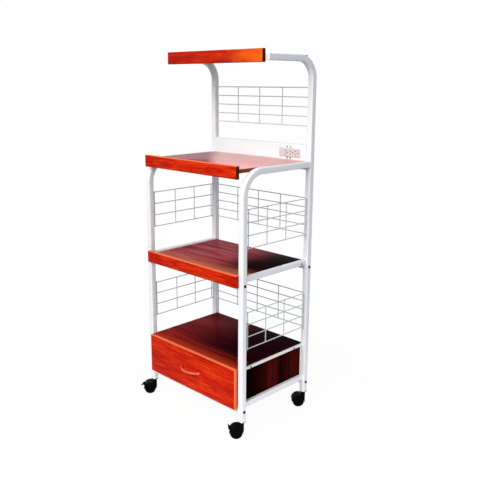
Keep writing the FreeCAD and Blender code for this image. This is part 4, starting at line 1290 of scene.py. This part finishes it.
@dataclass
class Casters:
    """Four hooded twin-wheel casters; the front two have brake levers."""

    wheel: float = 25.0
    width: float = 17.0
    gap: float = 4.6
    tread_round: float = 3.0
    bore: float = 4.05
    hub: float = 7.0
    dish: float = 17.0
    dish_deep: float = 2.0
    dish_ease: float = 0.5
    dish_slope: float = 0.6
    hub_ease: float = 0.4
    groove: float = 0.5
    lever_ease: float = 0.3
    steps: int = 72

    def profile(self) -> list[tuple[float, float]]:
        """Closed outline of one wheel: bore, inner face, grooved tread and dished outer face.

        Returns:
            Radius and distance along the axle of each corner, in millimetres.
        """
        near, far = self.gap, self.gap + self.width
        floor = far - self.dish_deep
        flat = self.wheel - self.tread_round
        line = [(self.bore, near)]
        line += [(flat + self.tread_round * math.sin(turn), near + self.tread_round * (1 - math.cos(turn)))
                 for turn in quarter_turn()]
        middle = (near + far) / 2
        line += [(self.wheel, middle - 2 * self.groove), (self.wheel - self.groove, middle - self.groove),
                 (self.wheel - self.groove, middle + self.groove), (self.wheel, middle + 2 * self.groove)]
        line += [(flat + self.tread_round * math.cos(turn), far - self.tread_round * (1 - math.sin(turn)))
                 for turn in quarter_turn()]
        line += [(self.dish + self.dish_ease, far), (self.dish, far - self.dish_ease),
                 (self.dish - self.dish_slope, floor), (self.hub + self.dish_slope, floor),
                 (self.hub, far - self.hub_ease), (self.hub - self.hub_ease, far), (self.bore, far)]
        return line

    def build(self) -> None:
        """Turn the wheels on their axles, and dress the hoods, the levers and the sockets in the legs."""
        rolls = {j["child"]: j for j in frame["joints"] if j["name"].endswith("_roll")}
        for corner in ("front_right", "front_left", "rear_right", "rear_left"):
            hood = corner + "_caster"
            settle(eased_node(hood, "hood_" + hood, CASTER_NYLON, 0.0), hood, Slot.NYLON, hood)
            wheels = corner + "_wheels"
            joint = rolls[wheels]
            axle = Vector(joint["axis"])
            turn = axle.to_track_quat("Z", "Y").to_matrix().to_4x4()
            shape = bmesh.new()
            for side in (1, -1):
                mirror = Matrix.Diagonal((1.0, 1.0, side, 1.0))
                place = Matrix.Translation(Vector(joint["pos_m"])) @ turn @ mirror
                lathe(shape, self.profile(), self.steps, place)
            settle(from_bmesh("tyres_" + wheels, shape, CASTER_NYLON), wheels, Slot.NYLON, wheels)
        for brake in ("front_right_brake", "front_left_brake"):
            lever = eased_node(brake, "lever_" + brake, CASTER_NYLON, self.lever_ease)
            settle(lever, brake, Slot.NYLON, brake)
        sockets = eased_node("leg_sockets", "moulded_leg_sockets", CASTER_NYLON, 0.0)
        settle(sockets, "frame", Slot.NYLON, "leg_sockets")


@dataclass
class Studio:
    """Pale floor, soft light and the camera at the photograph's angle.

    The lamps and the floor are in metres of the row frame. The camera is in the cart's layout and degrees.
    """

    focal_px: float = 652.0
    picture_px: float = 480.0
    sensor: float = 36.0
    eye: Point = (1926.8, -1670.3, 1387.0)
    yaw: float = 45.194
    pitch: float = 13.532
    roll: float = 0.139
    axis_px: tuple[float, float] = (231.34, 239.16)
    floor_size: float = 30.0
    sky: str = "#C2C8D0"
    sky_level: float = 1.0
    key_place: Point = (0.8, -3.4, 2.9)
    key_size: float = 2.4
    key_watts: float = 142.0
    fill_place: Point = (1.5, -0.4, 0.28)
    fill_size: float = 0.5
    fill_watts: float = 3.8
    lamp_aim: Point = (0.0, 0.0, 0.8)
    lamp_tint: str = "#FFF8F0"
    floor_near: str = "#F0F0F0"
    floor_far: str = "#5C6068"
    floor_rough: float = 0.9
    glow_near: float = 0.96
    fade_from: float = 0.5
    fade_to: float = 1.3

    def build(self) -> None:
        """Set up the floor, the world, the lamps and the camera."""
        scene = bpy.context.scene
        scene.view_settings.view_transform = "Standard"
        self.floor()
        self.world(scene)
        self.lamp("key_light", self.key_place, self.key_size, self.key_watts)
        self.lamp("fill_light", self.fill_place, self.fill_size, self.fill_watts)
        self.camera(scene)

    def seen(self, tree: NodeTree) -> Node:
        """One for what the camera, a mirror or glass shows, and zero for light that falls on the object.

        Args:
            tree: Tree of the floor or the world.

        Returns:
            The node that gives it.
        """
        path = add(tree, "ShaderNodeLightPath").outputs
        both = add(tree, "ShaderNodeMath", {0: path["Is Camera Ray"], 1: path["Is Glossy Ray"]},
                   operation="ADD", use_clamp=True)
        return add(tree, "ShaderNodeMath", {0: both, 1: path["Is Transmission Ray"]}, operation="ADD",
                   use_clamp=True)

    def floor(self) -> None:
        """Lay a pale floor that is nearly white to the eye and keeps a faint shadow."""
        shape = bmesh.new()
        bmesh.ops.create_grid(shape, x_segments=1, y_segments=1, size=self.floor_size / 2)
        mesh = bpy.data.meshes.new("floor")
        shape.to_mesh(mesh)
        shape.free()
        pale = bpy.data.materials.new("pale_floor")
        pale.use_nodes = True
        tree = pale.node_tree
        glow = add(tree, "ShaderNodeEmission", {"Strength": 1.0})
        place = add(tree, "ShaderNodeTexCoord").outputs["Object"]
        distance = add(tree, "ShaderNodeVectorMath", {0: place}, operation="LENGTH").outputs["Value"]
        away = add(tree, "ShaderNodeMapRange", {"Value": distance, "From Min": self.fade_from,
                                                "From Max": self.fade_to}, interpolation_type="SMOOTHSTEP")
        tone = add(tree, "ShaderNodeMix", {0: away, 6: linear(self.floor_near), 7: linear(self.floor_far)},
                   data_type="RGBA")
        look = {"Base Color": tone.outputs[2], "Roughness": self.floor_rough, "Specular IOR Level": 0.0}
        shader = feed(tree.nodes["Principled BSDF"], look)
        white = add(tree, "ShaderNodeMapRange", {"Value": away, "To Min": self.glow_near, "To Max": 1.0})
        share = add(tree, "ShaderNodeMath", {0: self.seen(tree), 1: white}, operation="MULTIPLY")
        mixed = add(tree, "ShaderNodeMixShader", {0: share, 1: shader, 2: glow})
        feed(tree.nodes["Material Output"], {"Surface": mixed})
        mesh.materials.append(pale)
        link("floor", mesh)

    def world(self, scene: Scene) -> None:
        """Give the scene a white surround and an even light.

        Args:
            scene: The scene.
        """
        scene.world = bpy.data.worlds.new("studio")
        scene.world.use_nodes = True
        tree = scene.world.node_tree
        light = feed(tree.nodes["Background"], {"Color": linear(self.sky), "Strength": self.sky_level})
        white = add(tree, "ShaderNodeBackground", {"Color": (1.0, 1.0, 1.0, 1.0), "Strength": 1.0})
        mixed = add(tree, "ShaderNodeMixShader", {0: self.seen(tree), 1: light, 2: white})
        feed(tree.nodes["World Output"], {"Surface": mixed})

    def lamp(self, name: str, place: Point, size: float, watts: float) -> None:
        """Hang a square soft lamp that faces the cart.

        Args:
            name: The lamp's name.
            place: Where it hangs, in metres.
            size: Side of the square in metres.
            watts: Its power.
        """
        data = bpy.data.lights.new(name, "AREA")
        data.size, data.energy, data.color = size, watts, linear(self.lamp_tint)[:3]
        lamp = bpy.data.objects.new(name, data)
        lamp.location = place
        lamp.rotation_mode = "QUATERNION"
        lamp.rotation_quaternion = (Vector(self.lamp_aim) - Vector(place)).to_track_quat("-Z", "Y")
        bpy.context.scene.collection.objects.link(lamp)

    def camera(self, scene: Scene) -> None:
        """Stand the camera where the photograph was taken from.

        Args:
            scene: The scene.
        """
        yaw, pitch, roll = (math.radians(v) for v in (self.yaw, self.pitch, self.roll))
        ahead = Vector((-math.sin(yaw) * math.cos(pitch), math.cos(yaw) * math.cos(pitch), -math.sin(pitch)))
        level_right = Vector((math.cos(yaw), math.sin(yaw), 0.0))
        level_up = level_right.cross(ahead)
        right = level_right * math.cos(roll) + level_up * math.sin(roll)
        up = level_up * math.cos(roll) - level_right * math.sin(roll)
        data = bpy.data.cameras.new("camera")
        data.sensor_width = self.sensor
        data.lens = self.focal_px / self.picture_px * self.sensor
        data.shift_x = (self.picture_px / 2 - self.axis_px[0]) / self.picture_px
        data.shift_y = (self.axis_px[1] - self.picture_px / 2) / self.picture_px
        eye = bpy.data.objects.new("camera", data)
        turn = Matrix((right, up, -ahead)).transposed().to_4x4()
        eye.matrix_world = Matrix.Translation(at(*self.eye)) @ turn
        scene.collection.objects.link(eye)
        scene.camera = eye


def main() -> None:
    """Build the cart's sub-assemblies in order, then the studio."""
    logging.basicConfig(level=logging.INFO, format="%(name)s: %(message)s")
    for part in (TubeFrame(), Shelves(), DrawerCabinet(), WireGrids(), PowerPanel(), Fasteners(), Casters(),
                 Studio()):
        LOG.info("building %s", type(part).__name__)
        part.build()


if __name__ == "__main__":
    main()
